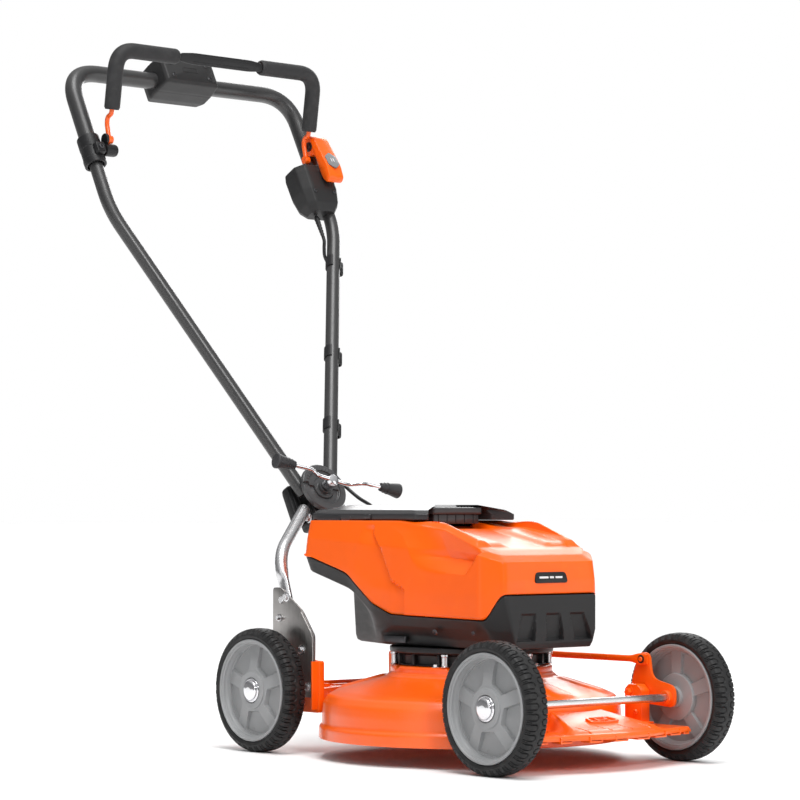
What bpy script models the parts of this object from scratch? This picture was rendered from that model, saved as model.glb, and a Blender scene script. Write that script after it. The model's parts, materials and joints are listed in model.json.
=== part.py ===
"""Push lawn mower with a battery motor, a mulching deck and a handle that can be raised.

Metres, +Z up. -Y is the mower's front, +Y the handle's side, and +X the operator's left.
The origin is on the ground, at the middle of the whole machine's box.
Each sub-part is one named object. Moving pieces keep their origins on their joints' axes.
"""

import math

import bmesh
import bpy
from mathutils import Matrix, Vector

# ---------------------------------------------------------------- driving dimensions
GAP = 0.0003

FRONT_AXLE_Y = -0.47695
WHEELBASE = 0.533
REAR_AXLE_Y = FRONT_AXLE_Y + WHEELBASE
WHEEL_RADIUS = 0.095
WHEEL_HALF_TRACK = 0.190
TYRE_WIDTH = 0.041
RIM_RADIUS = 0.079
AXLE_RADIUS = 0.006
BUSH_RADIUS = 0.0095

ARM_X = 0.161
ARM_THICKNESS = 0.005
ARM_PIVOT_BEHIND_AXLE = 0.060
ARM_PIVOT_Z = 0.101
LINK_PIN_BEHIND_AXLE = 0.048
LINK_PIN_Z = 0.150

DECK_Y = FRONT_AXLE_Y + 0.256
SKIRT_RADIUS = 0.231
SKIRT_BOTTOM_Z = 0.029
NECK_RADIUS = 0.122
NECK_TOP_Z = 0.140
DECK_WALL = 0.0035

BLADE_RADIUS = 0.210
BLADE_Z = 0.047
SHAFT_RADIUS = 0.009
MOTOR_RADIUS = 0.070
LID_BASE_Z = 0.3573
HOUSING_WALL = 0.003
HOUSING_FLOOR_Z = 0.170
SEAM_GAP = 0.0016
LID_FRONT = 0.254
LID_REAR = 0.512

HANDLE_LEAN = math.radians(27.9)
DISC_CENTRE = Vector((0.0, FRONT_AXLE_Y + 0.607, 0.4097))
TUBE_PLANE = -0.0232
LOWER_TUBE_RADIUS = 0.0115
UPPER_TUBE_RADIUS = 0.0142
HANDLE_HALF_SPAN = 0.237
BEND_ALONG = 0.525
CROSS_TUBE_ALONG = 0.803
BAIL_PIVOT_ALONG = 0.654
BAIL_PIVOT_OUT = -0.004
BAIL_HALF_SPAN = 0.2095
CABLE_RADIUS = 0.003

# ---------------------------------------------------------------- handle frame
ALONG = Vector((0.0, math.sin(HANDLE_LEAN), math.cos(HANDLE_LEAN)))
OUT = Vector((0.0, -math.cos(HANDLE_LEAN), math.sin(HANDLE_LEAN)))
ACROSS = Vector((1.0, 0.0, 0.0))


def on_handle(across, along, out):
    """World point from the handle's own frame: across it, up along it, and out towards the front."""
    return DISC_CENTRE + across * ACROSS + along * ALONG + out * OUT


HANDLE_TURN = Matrix((ACROSS, ALONG, OUT)).transposed().to_4x4()


# ---------------------------------------------------------------- materials
PAINTS = {
    "orange_paint": ((1.0, 0.13, 0.0), 0.30, 0.0),
    "orange_plastic": ((1.0, 0.15, 0.0), 0.35, 0.0),
    "dark_plastic": ((0.035, 0.035, 0.037), 0.45, 0.0),
    "lid_plastic": ((0.07, 0.07, 0.075), 0.30, 0.0),
    "black_plastic": ((0.012, 0.012, 0.013), 0.40, 0.0),
    "rim_plastic": ((0.36, 0.37, 0.38), 0.40, 0.0),
    "badge_plastic": ((0.20, 0.22, 0.25), 0.40, 0.0),
    "tube_paint": ((0.045, 0.045, 0.048), 0.32, 0.1),
    "disc_steel": ((0.14, 0.14, 0.15), 0.40, 0.2),
    "tyre_rubber": ((0.013, 0.013, 0.014), 0.65, 0.0),
    "grip_foam": ((0.035, 0.035, 0.037), 0.75, 0.0),
    "cable_rubber": ((0.010, 0.010, 0.011), 0.50, 0.0),
    "bright_steel": ((0.62, 0.62, 0.63), 0.28, 1.0),
    "chrome": ((0.80, 0.80, 0.82), 0.08, 1.0),
    "blade_steel": ((0.30, 0.31, 0.33), 0.35, 1.0),
    "motor_metal": ((0.45, 0.45, 0.46), 0.40, 1.0),
}


def paint(obj, finish):
    """Give an object its own Principled material in one of the named finishes."""
    colour, roughness, metallic = PAINTS[finish]
    material = bpy.data.materials.new(f"{obj.name}_{finish}")
    material.use_nodes = True
    shader = material.node_tree.nodes["Principled BSDF"]
    shader.inputs["Base Color"].default_value = (*colour, 1.0)
    shader.inputs["Roughness"].default_value = roughness
    shader.inputs["Metallic"].default_value = metallic
    obj.data.materials.append(material)


# ---------------------------------------------------------------- shape helpers
def link_object(name, data):
    """Put new mesh or curve data in the scene as a named object."""
    obj = bpy.data.objects.new(name, data)
    bpy.context.scene.collection.objects.link(obj)
    return obj


def finished(obj, finish, smooth=True):
    """Shade an object and paint it."""
    if smooth and obj.type == "MESH":
        for polygon in obj.data.polygons:
            polygon.use_smooth = True
    paint(obj, finish)
    return obj


def bevel(obj, width, segments=2):
    """Round the edges of an object."""
    rounding = obj.modifiers.new("rounded_edges", "BEVEL")
    rounding.width = width
    rounding.segments = segments
    rounding.limit_method = "ANGLE"
    rounding.angle_limit = math.radians(40)
    return obj


def place_on_handle(obj, across, along, out):
    """Turn an object's X, Y, Z to across, along and out, and move it to its place on the handle."""
    obj.matrix_world = Matrix.Translation(on_handle(across, along, out)) @ HANDLE_TURN
    return obj


def lathe(name, profile, finish, steps=40, along_x=False, at=(0, 0, 0)):
    """Turn a profile of (radius, height) points round its axis; a ring's profile closes on itself."""
    following = profile[1:] + profile[:1]
    turns_left = sum(r0 * z1 - r1 * z0 for (r0, z0), (r1, z1) in zip(profile, following)) > 0
    count = len(profile)
    is_ring = profile[0][0] > 0
    edges = [(i, i + 1) for i in range(count - 1)] + ([(count - 1, 0)] if is_ring else [])
    mesh = bpy.data.meshes.new(name)
    mesh.from_pydata([(radius, 0, height) for radius, height in profile], edges, [])
    obj = link_object(name, mesh)
    turned = obj.modifiers.new("turned", "SCREW")
    turned.steps = steps
    turned.render_steps = steps
    turned.use_merge_vertices = True
    turned.merge_threshold = 0.00001
    turned.use_normal_flip = turns_left
    obj.location = at
    if along_x:
        obj.rotation_euler = (0, math.radians(90), 0)
    return finished(obj, finish)


def rounded_path(corners, radius, steps=4):
    """Points along straight runs whose corners are arcs of one radius."""
    corners = [Vector(corner) for corner in corners]
    points = [corners[0]]
    for before, corner, after in zip(corners, corners[1:], corners[2:]):
        back = (before - corner).normalized()
        ahead = (after - corner).normalized()
        half_angle = back.angle(ahead) / 2
        inset = radius / math.tan(half_angle)
        centre = corner + (back + ahead).normalized() * (radius / math.sin(half_angle))
        start = corner + back * inset - centre
        end = corner + ahead * inset - centre
        sweep = start.angle(end)
        for i in range(steps + 1):
            done, left = math.sin(sweep * i / steps), math.sin(sweep * (1 - i / steps))
            points.append(centre + (start * left + end * done) / math.sin(sweep))
    return points + [corners[-1]]


def smooth_path(knots, count):
    """Points of a Catmull-Rom curve through the knots."""
    knots = [Vector(knot) for knot in knots]
    knots = [2 * knots[0] - knots[1]] + knots + [2 * knots[-1] - knots[-2]]
    spans = len(knots) - 3
    points = []
    for i in range(count):
        place = spans * i / (count - 1)
        span = min(int(place), spans - 1)
        t = place - span
        a, b, c, d = knots[span:span + 4]
        points.append(
            0.5 * (2 * b + (c - a) * t + (2 * a - 5 * b + 4 * c - d) * t * t
                   + (3 * b - a - 3 * c + d) * t * t * t)
        )
    return points


def tube(name, points, radius, finish, sides=8, origin=(0, 0, 0), wall=None):
    """A round tube or wire along a path, solid, or hollow when a wall is given."""
    curve = bpy.data.curves.new(name, "CURVE")
    curve.dimensions = "3D"
    curve.bevel_depth = radius
    curve.bevel_resolution = (sides - 4) // 2
    curve.use_fill_caps = wall is None
    spline = curve.splines.new("POLY")
    spline.points.add(len(points) - 1)
    for slot, point in zip(spline.points, points):
        slot.co = (*(Vector(point) - Vector(origin)), 1)
    obj = link_object(name, curve)
    obj.location = origin
    if wall:
        solidify(obj, wall)
    return finished(obj, finish)


def solidify(obj, wall):
    """Give an open surface a wall on its inner side."""
    thick = obj.modifiers.new("wall", "SOLIDIFY")
    thick.thickness = wall
    thick.offset = -1
    return obj


def plate(name, outline, thickness, finish, facing="X", at=(0, 0, 0)):
    """A flat outline, extruded evenly about its middle plane; facing X, its points are (y, z)."""
    mesh = bpy.data.meshes.new(name)
    slab = bmesh.new()
    face = slab.faces.new([slab.verts.new((u, v, -thickness / 2)) for u, v in outline])
    extruded = bmesh.ops.extrude_face_region(slab, geom=[face], use_keep_orig=True)["geom"]
    top = [item for item in extruded if isinstance(item, bmesh.types.BMVert)]
    bmesh.ops.translate(slab, verts=top, vec=(0, 0, thickness))
    bmesh.ops.recalc_face_normals(slab, faces=slab.faces)
    slab.to_mesh(mesh)
    slab.free()
    obj = link_object(name, mesh)
    obj.location = at
    if facing == "X":
        obj.rotation_euler = (math.radians(90), 0, math.radians(90))
    return finished(obj, finish, smooth=False)


def rounded_outline(corners, radii, steps=3):
    """A closed 2-D outline whose corners are arcs."""
    count = len(corners)
    if not isinstance(radii, (list, tuple)):
        radii = [radii] * count
    outline = []
    for i, corner in enumerate(corners):
        corner = Vector(corner)
        back = (Vector(corners[i - 1]) - corner).normalized()
        ahead = (Vector(corners[(i + 1) % count]) - corner).normalized()
        half_angle = back.angle(ahead) / 2
        inset = radii[i] / math.tan(half_angle)
        centre = corner + (back + ahead).normalized() * (radii[i] / math.sin(half_angle))
        start = corner + back * inset - centre
        end = corner + ahead * inset - centre
        turn = start.angle_signed(end)
        for step in range(steps + 1):
            spoke = start.copy()
            spoke.rotate(Matrix.Rotation(-turn * step / steps, 2))
            outline.append(tuple(centre + spoke))
    return outline


def box(name, size, centre, finish, rounding=0.003, segments=1):
    """A box with rounded edges."""
    mesh = bpy.data.meshes.new(name)
    cube = bmesh.new()
    bmesh.ops.create_cube(cube, size=1.0, matrix=Matrix.Diagonal((*size, 1)))
    cube.to_mesh(mesh)
    cube.free()
    obj = link_object(name, mesh)
    obj.location = centre
    if rounding:
        bevel(obj, rounding, segments)
    return finished(obj, finish)


def rings_mesh(name, rings, closed_start, closed_end):
    """Join rings of equally many points with quads, and cap either end if it is closed."""
    size = len(rings[0])
    vertices = [tuple(point) for ring in rings for point in ring]
    faces = []
    for level in range(len(rings) - 1):
        low, high = level * size, (level + 1) * size
        for i in range(size):
            j = (i + 1) % size
            faces.append((low + i, low + j, high + j, high + i))
    if closed_start:
        faces.append(tuple(reversed(range(size))))
    if closed_end:
        faces.append(tuple(range(len(vertices) - size, len(vertices))))
    mesh = bpy.data.meshes.new(name)
    mesh.from_pydata(vertices, [], faces)
    return mesh


def boolean(obj, cutter, operation):
    """Join a helper solid to an object, or cut the object with it; the helper isn't rendered."""
    cutter.hide_render = True
    cutter.display_type = "WIRE"
    change = obj.modifiers.new(operation.lower(), "BOOLEAN")
    change.operation = operation
    change.solver = "EXACT"
    change.object = cutter
    return obj


def cylinder_cutter(name, radius, start, end, sides=16):
    """A helper cylinder between two points."""
    start, end = Vector(start), Vector(end)
    mesh = bpy.data.meshes.new(name)
    rod = bmesh.new()
    bmesh.ops.create_cone(
        rod, cap_ends=True, segments=sides, radius1=radius, radius2=radius, depth=(end - start).length
    )
    rod.to_mesh(mesh)
    rod.free()
    obj = link_object(name, mesh)
    turn = (end - start).to_track_quat("Z", "Y").to_matrix().to_4x4()
    obj.matrix_world = Matrix.Translation((start + end) / 2) @ turn
    return obj


# ---------------------------------------------------------------- deck and frame
def deck_y(y):
    """A distance behind the front axle, as a world Y."""
    return FRONT_AXLE_Y + y


def build_deck():
    """The round mulching shroud: a neck on a cone, a vertical band and a stepped rim."""
    outside = [
        (0.045, NECK_TOP_Z), (0.119, NECK_TOP_Z), (NECK_RADIUS, 0.137), (NECK_RADIUS, 0.128),
        (0.126, 0.1255), (0.205, 0.100), (0.219, 0.092), (0.2255, 0.080), (0.2265, 0.050),
        (SKIRT_RADIUS, 0.048), (SKIRT_RADIUS, SKIRT_BOTTOM_Z),
    ]
    inside = [(max(radius - DECK_WALL, 0.045), height - DECK_WALL) for radius, height in outside[1:-1]]
    profile = outside + [(SKIRT_RADIUS - DECK_WALL, SKIRT_BOTTOM_Z)] + inside[::-1]
    profile += [(0.045, NECK_TOP_Z - DECK_WALL)]
    lathe("deck_shell", profile, "orange_paint", steps=64, at=(0, DECK_Y, 0))


def arc_points(radius, half_width, count, y_sign):
    """Points on a circle round the deck's middle, from +X to -X, ahead of it or behind it."""
    half_turn = math.asin(half_width / radius)
    turns = [half_turn - 2 * half_turn * i / (count - 1) for i in range(count)]
    return [(radius * math.sin(t), DECK_Y + y_sign * radius * math.cos(t)) for t in turns]


def build_front_apron():
    """The low front plate with a raised tongue and comb teeth, in front of the shroud."""
    fit_radius = SKIRT_RADIUS + 0.0015
    front = [
        (-0.163, deck_y(-0.044)), (-0.122, deck_y(-0.052)), (-0.060, deck_y(-0.070)),
        (0.0, deck_y(-0.077)),
        (0.060, deck_y(-0.070)), (0.122, deck_y(-0.052)), (0.163, deck_y(-0.044)),
    ]
    sides = [(0.163, deck_y(0.072)), (0.152, deck_y(0.078))]
    outline = front + sides + arc_points(fit_radius, 0.148, 15, -1) + [(-x, y) for x, y in sides[::-1]]
    apron = plate("front_apron", outline, 0.007, "orange_paint", facing="Z", at=(0, 0, 0.0515))
    tongue_front = [(-0.092, deck_y(-0.060)), (0.092, deck_y(-0.060))]
    tongue_rear = arc_points(fit_radius, 0.052, 5, -1)
    low = [(x, y, 0.050) for x, y in tongue_front + tongue_rear]
    slope = 0.25
    high = [(x, y, 0.059 + slope * (y - deck_y(-0.060))) for x, y, _ in low]
    tongue = link_object("apron_tongue", rings_mesh("apron_tongue", [low, high], True, True))
    boolean(apron, tongue, "UNION")
    for place, x in enumerate((-0.122, -0.042, 0.042, 0.122)):
        depth = -0.044 if abs(x) > 0.1 else -0.066
        tooth = box(f"comb_tooth_{place}", (0.012, 0.016, 0.010), (x, deck_y(depth), 0.0475), "orange_paint", 0)
        boolean(apron, tooth, "UNION")


def build_rear_frame():
    """The crescent behind the shroud, with a cheek each side that bridges the rear axle."""
    fit_radius = SKIRT_RADIUS + 0.0015
    rear = [(-0.1365, deck_y(0.512)), (0.1365, deck_y(0.512))]
    crescent = rear[::-1] + [(x, y) for x, y in arc_points(fit_radius, 0.1365, 17, 1)][::-1]
    frame = plate("rear_frame", crescent, 0.030, "orange_paint", facing="Z", at=(0, 0, 0.084))
    cheek = rounded_outline(
        [
            (deck_y(0.442), 0.062), (deck_y(0.512), 0.062), (deck_y(0.514), 0.124),
            (deck_y(0.574), 0.124), (deck_y(0.578), 0.086), (deck_y(0.608), 0.086),
            (deck_y(0.608), 0.142), (deck_y(0.442), 0.142),
        ],
        0.003,
        steps=2,
    )
    for side in (-1, 1):
        wall = plate(f"cheek_{side}", cheek, 0.0105, "orange_paint", at=(side * 0.1408, 0, 0))
        boolean(frame, wall, "UNION")
    pivot = (deck_y(0.593), ARM_PIVOT_Z)
    bore = cylinder_cutter("rear_pivot_bore", 0.0061, (-0.16, *pivot), (0.16, *pivot))
    boolean(frame, bore, "DIFFERENCE")


def build_pivot_blocks():
    """The blocks on the apron that carry the front swing arms."""
    for side, hand in ((-1, "right"), (1, "left")):
        block = box(
            f"pivot_block_{hand}", (0.0182, 0.035, 0.058), (side * 0.1493, deck_y(0.0525), 0.0845),
            "orange_paint", 0.003,
        )
        pivot = (deck_y(ARM_PIVOT_BEHIND_AXLE), ARM_PIVOT_Z)
        bore = cylinder_cutter(f"pivot_bore_{hand}", 0.0061, (side * 0.12, *pivot), (side * 0.18, *pivot))
        boolean(block, bore, "DIFFERENCE")


def build_swing_arms():
    """Four bell-crank plates, each with a pivot pin, an axle bore and a horn for the link rod."""
    for end, axle_y in (("front", FRONT_AXLE_Y), ("rear", REAR_AXLE_Y)):
        for side, hand in ((-1, "right"), (1, "left")):
            pivot_y = axle_y + ARM_PIVOT_BEHIND_AXLE
            horn_y = axle_y + LINK_PIN_BEHIND_AXLE
            outline = rounded_outline(
                [
                    (axle_y - 0.016, 0.080), (pivot_y + 0.014, 0.086), (pivot_y + 0.014, 0.115),
                    (horn_y + 0.010, LINK_PIN_Z + 0.009), (horn_y - 0.010, LINK_PIN_Z + 0.009),
                    (horn_y - 0.017, 0.122), (axle_y - 0.016, 0.110),
                ],
                [0.013, 0.012, 0.010, 0.008, 0.008, 0.012, 0.013],
            )
            name = f"swing_arm_{end}_{hand}"
            outline = [(y - pivot_y, z - ARM_PIVOT_Z) for y, z in outline]
            arm = plate(name, outline, 0.004, "orange_paint", at=(side * ARM_X, pivot_y, ARM_PIVOT_Z))
            pin_end = side * (0.1415 if end == "front" else 0.1375)
            pin = cylinder_cutter(
                f"{name}_pin", 0.0056, (side * (ARM_X + 0.004), pivot_y, ARM_PIVOT_Z),
                (pin_end, pivot_y, ARM_PIVOT_Z),
            )
            boolean(arm, pin, "UNION")
            bore = cylinder_cutter(
                f"{name}_axle_bore", AXLE_RADIUS + GAP, (side * 0.150, axle_y, WHEEL_RADIUS),
                (side * 0.170, axle_y, WHEEL_RADIUS),
            )
            boolean(arm, bore, "DIFFERENCE")
            if hand == "left":
                stub = cylinder_cutter(
                    f"{name}_link_pin", 0.0038, (ARM_X + 0.001, horn_y, LINK_PIN_Z),
                    (ARM_X - 0.0095, horn_y, LINK_PIN_Z),
                )
                boolean(arm, stub, "UNION")


def build_link_rod():
    """The rod that makes both axles swing together, with an eye at each end."""
    front_y = deck_y(LINK_PIN_BEHIND_AXLE)
    rear_y = REAR_AXLE_Y + LINK_PIN_BEHIND_AXLE
    middle = (front_y + rear_y) / 2
    half = (rear_y - front_y) / 2
    corners = [
        (-half - 0.010, -0.008), (-half + 0.014, -0.008), (-half + 0.030, -0.004),
        (half - 0.030, -0.004), (half - 0.014, -0.008), (half + 0.010, -0.008),
        (half + 0.010, 0.008), (half - 0.014, 0.008), (half - 0.030, 0.004),
        (-half + 0.030, 0.004), (-half + 0.014, 0.008), (-half - 0.010, 0.008),
    ]
    rod_x = ARM_X - 0.002 - GAP - 0.0027
    outline = [(y + middle - rear_y, z) for y, z in corners]
    rod = plate("link_rod", outline, 0.0054, "orange_paint", at=(rod_x, rear_y, LINK_PIN_Z))
    for place, y in (("front", front_y), ("rear", rear_y)):
        radius = 0.0048 if place == "front" else 0.0039
        eye = cylinder_cutter(
            f"link_eye_{place}", radius, (rod_x - 0.01, y, LINK_PIN_Z), (rod_x + 0.01, y, LINK_PIN_Z)
        )
        boolean(rod, eye, "DIFFERENCE")


def build_height_lever():
    """The hand lever that swings the axles, on the operator's left at the back."""
    start = Vector((ARM_X, REAR_AXLE_Y + LINK_PIN_BEHIND_AXLE, LINK_PIN_Z + 0.009 + GAP))
    knee = start + Vector((0, 0, 0.030))
    end = knee + Vector((0, 0.028, 0.075))
    path = rounded_path([start, knee, end], 0.02)
    origin = (0, REAR_AXLE_Y + ARM_PIVOT_BEHIND_AXLE, ARM_PIVOT_Z)
    tube("height_lever", path, 0.005, "tube_paint", origin=origin)


# ---------------------------------------------------------------- wheels
def build_wheels():
    """Two axles, and four wheels of tyre, rim and cap that turn on their ends."""
    half = TYRE_WIDTH / 2
    tyre = [
        (RIM_RADIUS, -half + 0.003), (RIM_RADIUS + 0.007, -half), (WHEEL_RADIUS - 0.005, -half + 0.002),
        (WHEEL_RADIUS - 0.001, -half + 0.006), (WHEEL_RADIUS, -half + 0.011),
        (WHEEL_RADIUS, half - 0.011), (WHEEL_RADIUS - 0.001, half - 0.006),
        (WHEEL_RADIUS - 0.005, half - 0.002), (RIM_RADIUS + 0.007, half), (RIM_RADIUS, half - 0.003),
    ]
    rim_edge = RIM_RADIUS - GAP
    rim = [
        (BUSH_RADIUS, -0.017), (0.026, -0.017), (0.030, -0.004), (0.066, -0.006),
        (0.072, -0.016), (rim_edge, -0.016), (rim_edge, 0.016), (0.073, 0.016), (0.069, 0.006),
        (0.034, 0.011), (0.029, 0.0145), (0.019, 0.0145), (BUSH_RADIUS, 0.0145),
    ]
    cap = [
        (0.0, 0.0005), (0.0175, 0.0005), (0.0175, 0.0030), (0.0150, 0.0062), (0.0095, 0.0085), (0.0, 0.0092),
    ]
    for end, axle_y in (("front", FRONT_AXLE_Y), ("rear", REAR_AXLE_Y)):
        reach = WHEEL_HALF_TRACK + 0.0145
        rod = [(-reach, axle_y, WHEEL_RADIUS), (reach, axle_y, WHEEL_RADIUS)]
        tube(f"{end}_axle", rod, AXLE_RADIUS, "bright_steel", sides=12, origin=(0, axle_y, WHEEL_RADIUS))
        for side, hand in ((-1, "right"), (1, "left")):
            centre = (side * WHEEL_HALF_TRACK, axle_y, WHEEL_RADIUS)
            turned_rim = rim if side > 0 else [(radius, -height) for radius, height in rim]
            turned_cap = cap if side > 0 else [(radius, -height) for radius, height in cap]
            lathe(f"tyre_{end}_{hand}", tyre, "tyre_rubber", 44, True, centre)
            lathe(f"rim_{end}_{hand}", turned_rim, "rim_plastic", 40, True, centre)
            cap_at = (side * (WHEEL_HALF_TRACK + 0.0147), axle_y, WHEEL_RADIUS)
            lathe(f"hub_cap_{end}_{hand}", turned_cap, "chrome", 24, True, cap_at)


# ---------------------------------------------------------------- motor, blade and housing
def build_drive():
    """The motor, its shaft, the blade, the blade's bolt and the black neck between deck and housing."""
    motor = [
        (0.011, 0.176), (0.060, 0.176), (MOTOR_RADIUS, 0.182), (MOTOR_RADIUS, 0.254), (0.060, 0.262),
        (0.011, 0.262),
    ]
    lathe("motor", motor, "motor_metal", 32, at=(0, DECK_Y, 0))
    flange_z = BLADE_Z + 0.0025
    shaft = [
        (0.0, flange_z), (0.030, flange_z), (0.030, flange_z + 0.006), (0.014, flange_z + 0.010),
        (0.012, flange_z + 0.022), (SHAFT_RADIUS, flange_z + 0.024), (SHAFT_RADIUS, 0.268), (0.0, 0.268),
    ]
    lathe("motor_shaft", shaft, "bright_steel", 24, at=(0, DECK_Y, 0))
    wide, tip = 0.026, BLADE_RADIUS
    outline = [
        (-tip, -wide + 0.006), (-tip + 0.055, -wide), (-0.07, -wide), (-0.03, -wide - 0.004),
        (0.03, -wide - 0.004), (0.07, -wide), (tip - 0.055, -wide), (tip, -wide + 0.006),
        (tip, wide - 0.010), (tip - 0.055, wide), (0.07, wide), (0.03, wide + 0.004),
        (-0.03, wide + 0.004), (-0.07, wide), (-tip + 0.055, wide), (-tip, wide - 0.010),
    ]
    plate("blade", outline, 0.004, "blade_steel", facing="Z", at=(0, DECK_Y, BLADE_Z))
    bolt_z = BLADE_Z - 0.0023
    bolt = [(0.0, bolt_z - 0.0085), (0.008, bolt_z - 0.0085), (0.0085, bolt_z - 0.002), (0.016, bolt_z), (0.0, bolt_z)]
    lathe("blade_bolt", bolt, "bright_steel", 12, at=(0, DECK_Y, 0))
    neck = [
        (0.040, NECK_TOP_Z + GAP), (0.113, NECK_TOP_Z + GAP), (0.113, 0.152), (0.124, 0.155),
        (0.124, 0.168), (0.040, 0.168),
    ]
    lathe("neck_adapter", neck, "black_plastic", 48, at=(0, DECK_Y, 0))


def housing_ring(halves, ys, height, corner=0.016, inset=0.0, drop=0.0):
    """One plan outline of the housing at the given half widths and places along Y, lifted by a function of y."""
    halves = [half - inset for half in halves]
    ys = [ys[0] + inset, *ys[1:-1], ys[-1] - inset]
    right = [(half, deck_y(y)) for half, y in zip(halves, ys)]
    corners = right + [(-x, y) for x, y in reversed(right)]
    return [(x, y, height(y - FRONT_AXLE_Y) - drop) for x, y in rounded_outline(corners, corner, 3)]


def ramp(*stops):
    """A height that runs straight between (y, z) stops."""
    def height(y):
        for (y0, z0), (y1, z1) in zip(stops, stops[1:]):
            if y <= y1:
                return z0 + (z1 - z0) * max(y - y0, 0) / (y1 - y0)
        return stops[-1][1]
    return height


def walled_shell(name, levels, finish):
    """A housing wall closed at both rims; each level is a ring's shape and how far its inner ring is inset and dropped."""
    outer = [housing_ring(*shape) for shape, _, _ in levels]
    inner = [housing_ring(*shape, inset=inset, drop=drop) for shape, inset, drop in levels]
    rings = outer + inner[::-1]
    size = len(rings[0])
    faces = []
    for level in range(len(rings)):
        low, high = level * size, (level + 1) % len(rings) * size
        for i in range(size):
            j = (i + 1) % size
            if high:
                faces += [(low + i, low + j, high + j), (low + i, high + j, high + i)]
            else:
                faces += [(low + i, low + j, i), (low + j, j, i)]
    mesh = bpy.data.meshes.new(name)
    mesh.from_pydata([point for ring in rings for point in ring], [], faces)
    return finished(link_object(name, mesh), finish)


def build_housing():
    """The motor and battery housing: an open dark tray below, and an orange cover above."""
    seam = ramp(
        (0.082, 0.249), (0.088, 0.247), (0.104, 0.212), (0.300, 0.216), (0.345, 0.232), (0.405, 0.276),
        (0.518, 0.305),
    )
    seam_halves = (0.092, 0.117, 0.127, 0.119)
    seam_ys = (0.082, 0.112, 0.300, 0.518)
    floor = ramp((0, HOUSING_FLOOR_Z), (1, HOUSING_FLOOR_Z))
    wall = HOUSING_WALL
    tray = [
        (((0.018, 0.028, 0.028, 0.018), (0.228, 0.238, 0.274, 0.284), floor, 0.006), 0.0, -wall),
        (((0.072, 0.092, 0.106, 0.064), (0.076, 0.104, 0.330, 0.450), floor, 0.010), wall, -wall),
        (
            (
                (0.078, 0.098, 0.113, 0.068), (0.073, 0.102, 0.334, 0.458),
                ramp((0.07, 0.178), (0.36, 0.190), (0.40, 0.2495), (0.52, 0.266)), 0.014,
            ),
            wall, -wall,
        ),
        (
            (
                (0.084, 0.108, 0.121, 0.113), (0.074, 0.106, 0.300, 0.512),
                ramp((0.07, 0.196), (0.30, 0.200), (0.345, 0.215), (0.405, 0.254), (0.518, 0.281)), 0.016,
            ),
            wall, -wall,
        ),
        ((seam_halves, seam_ys, lambda y: seam(y) - SEAM_GAP / 2), wall, 0.0),
    ]
    walled_shell("lower_housing", tray, "dark_plastic")
    cover = [
        ((seam_halves, seam_ys, lambda y: seam(y) + SEAM_GAP / 2), wall, 0.0),
        (
            (
                (0.092, 0.116, 0.125, 0.117), (0.083, 0.113, 0.300, 0.517),
                ramp((0.082, 0.270), (0.104, 0.262), (0.300, 0.275), (0.518, 0.328)),
            ),
            wall, 0.0,
        ),
        (
            (
                (0.089, 0.108, 0.117, 0.112), (0.087, 0.116, 0.300, 0.515),
                ramp((0.086, 0.298), (0.116, 0.322), (0.250, 0.346), (0.518, 0.354)),
            ),
            wall, wall,
        ),
        (
            (
                (0.078, 0.092, 0.101, 0.100), (0.120, 0.150, 0.300, 0.506),
                ramp((0.12, 0.324), (0.15, 0.332), (0.250, 0.3495), (0.300, 0.3565), (0.518, 0.3565)), 0.014,
            ),
            wall / 2, wall,
        ),
        (
            ((0.080, 0.092, 0.094, 0.092), (0.322, 0.334, 0.400, 0.498), ramp((0, 0.3568), (1, 0.3568)), 0.010),
            0.0, wall,
        ),
    ]
    walled_shell("upper_housing", cover, "orange_plastic")


def build_lid():
    """The battery lid, a shallow dome with a notch at its front for the latch."""

    def lid_ring(inset, height):
        right = [
            (0.060 + inset, 0.312 + inset), (0.064 + inset, 0.280 + inset), (0.088 - inset, LID_FRONT + inset),
            (0.102 - inset, 0.270 + inset), (0.104 - inset, LID_REAR - inset),
        ]
        corners = right + [(-x, y) for x, y in reversed(right)]
        radii = [0.004, 0.008, 0.007, 0.010, 0.008] + [0.008, 0.010, 0.007, 0.008, 0.004]
        return [(x, deck_y(y), height) for x, y in rounded_outline(corners, radii, 2)]

    rings = [lid_ring(0.0, LID_BASE_Z), lid_ring(0.002, LID_BASE_Z + 0.0105), lid_ring(0.010, LID_BASE_Z + 0.018)]
    hinge = Vector((0, deck_y(LID_REAR), LID_BASE_Z))
    rings = [[Vector(point) - hinge for point in ring] for ring in rings]
    lid = link_object("battery_lid", rings_mesh("battery_lid", rings, False, True))
    lid.location = hinge
    finished(solidify(lid, 0.0025), "lid_plastic")
    latch = box("lid_latch", (0.112, 0.022, 0.024), (0, 0, 0), "lid_plastic", 0.003)
    latch.location = (0, deck_y(0.298), 0.3705)


def build_batteries():
    """Two battery packs, side by side under the lid."""
    for side, hand in ((-1, "right"), (1, "left")):
        centre = (side * 0.0455, deck_y(0.412), 0.322)
        box(f"battery_{hand}", (0.082, 0.160, 0.060), centre, "black_plastic", 0.004)


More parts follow.
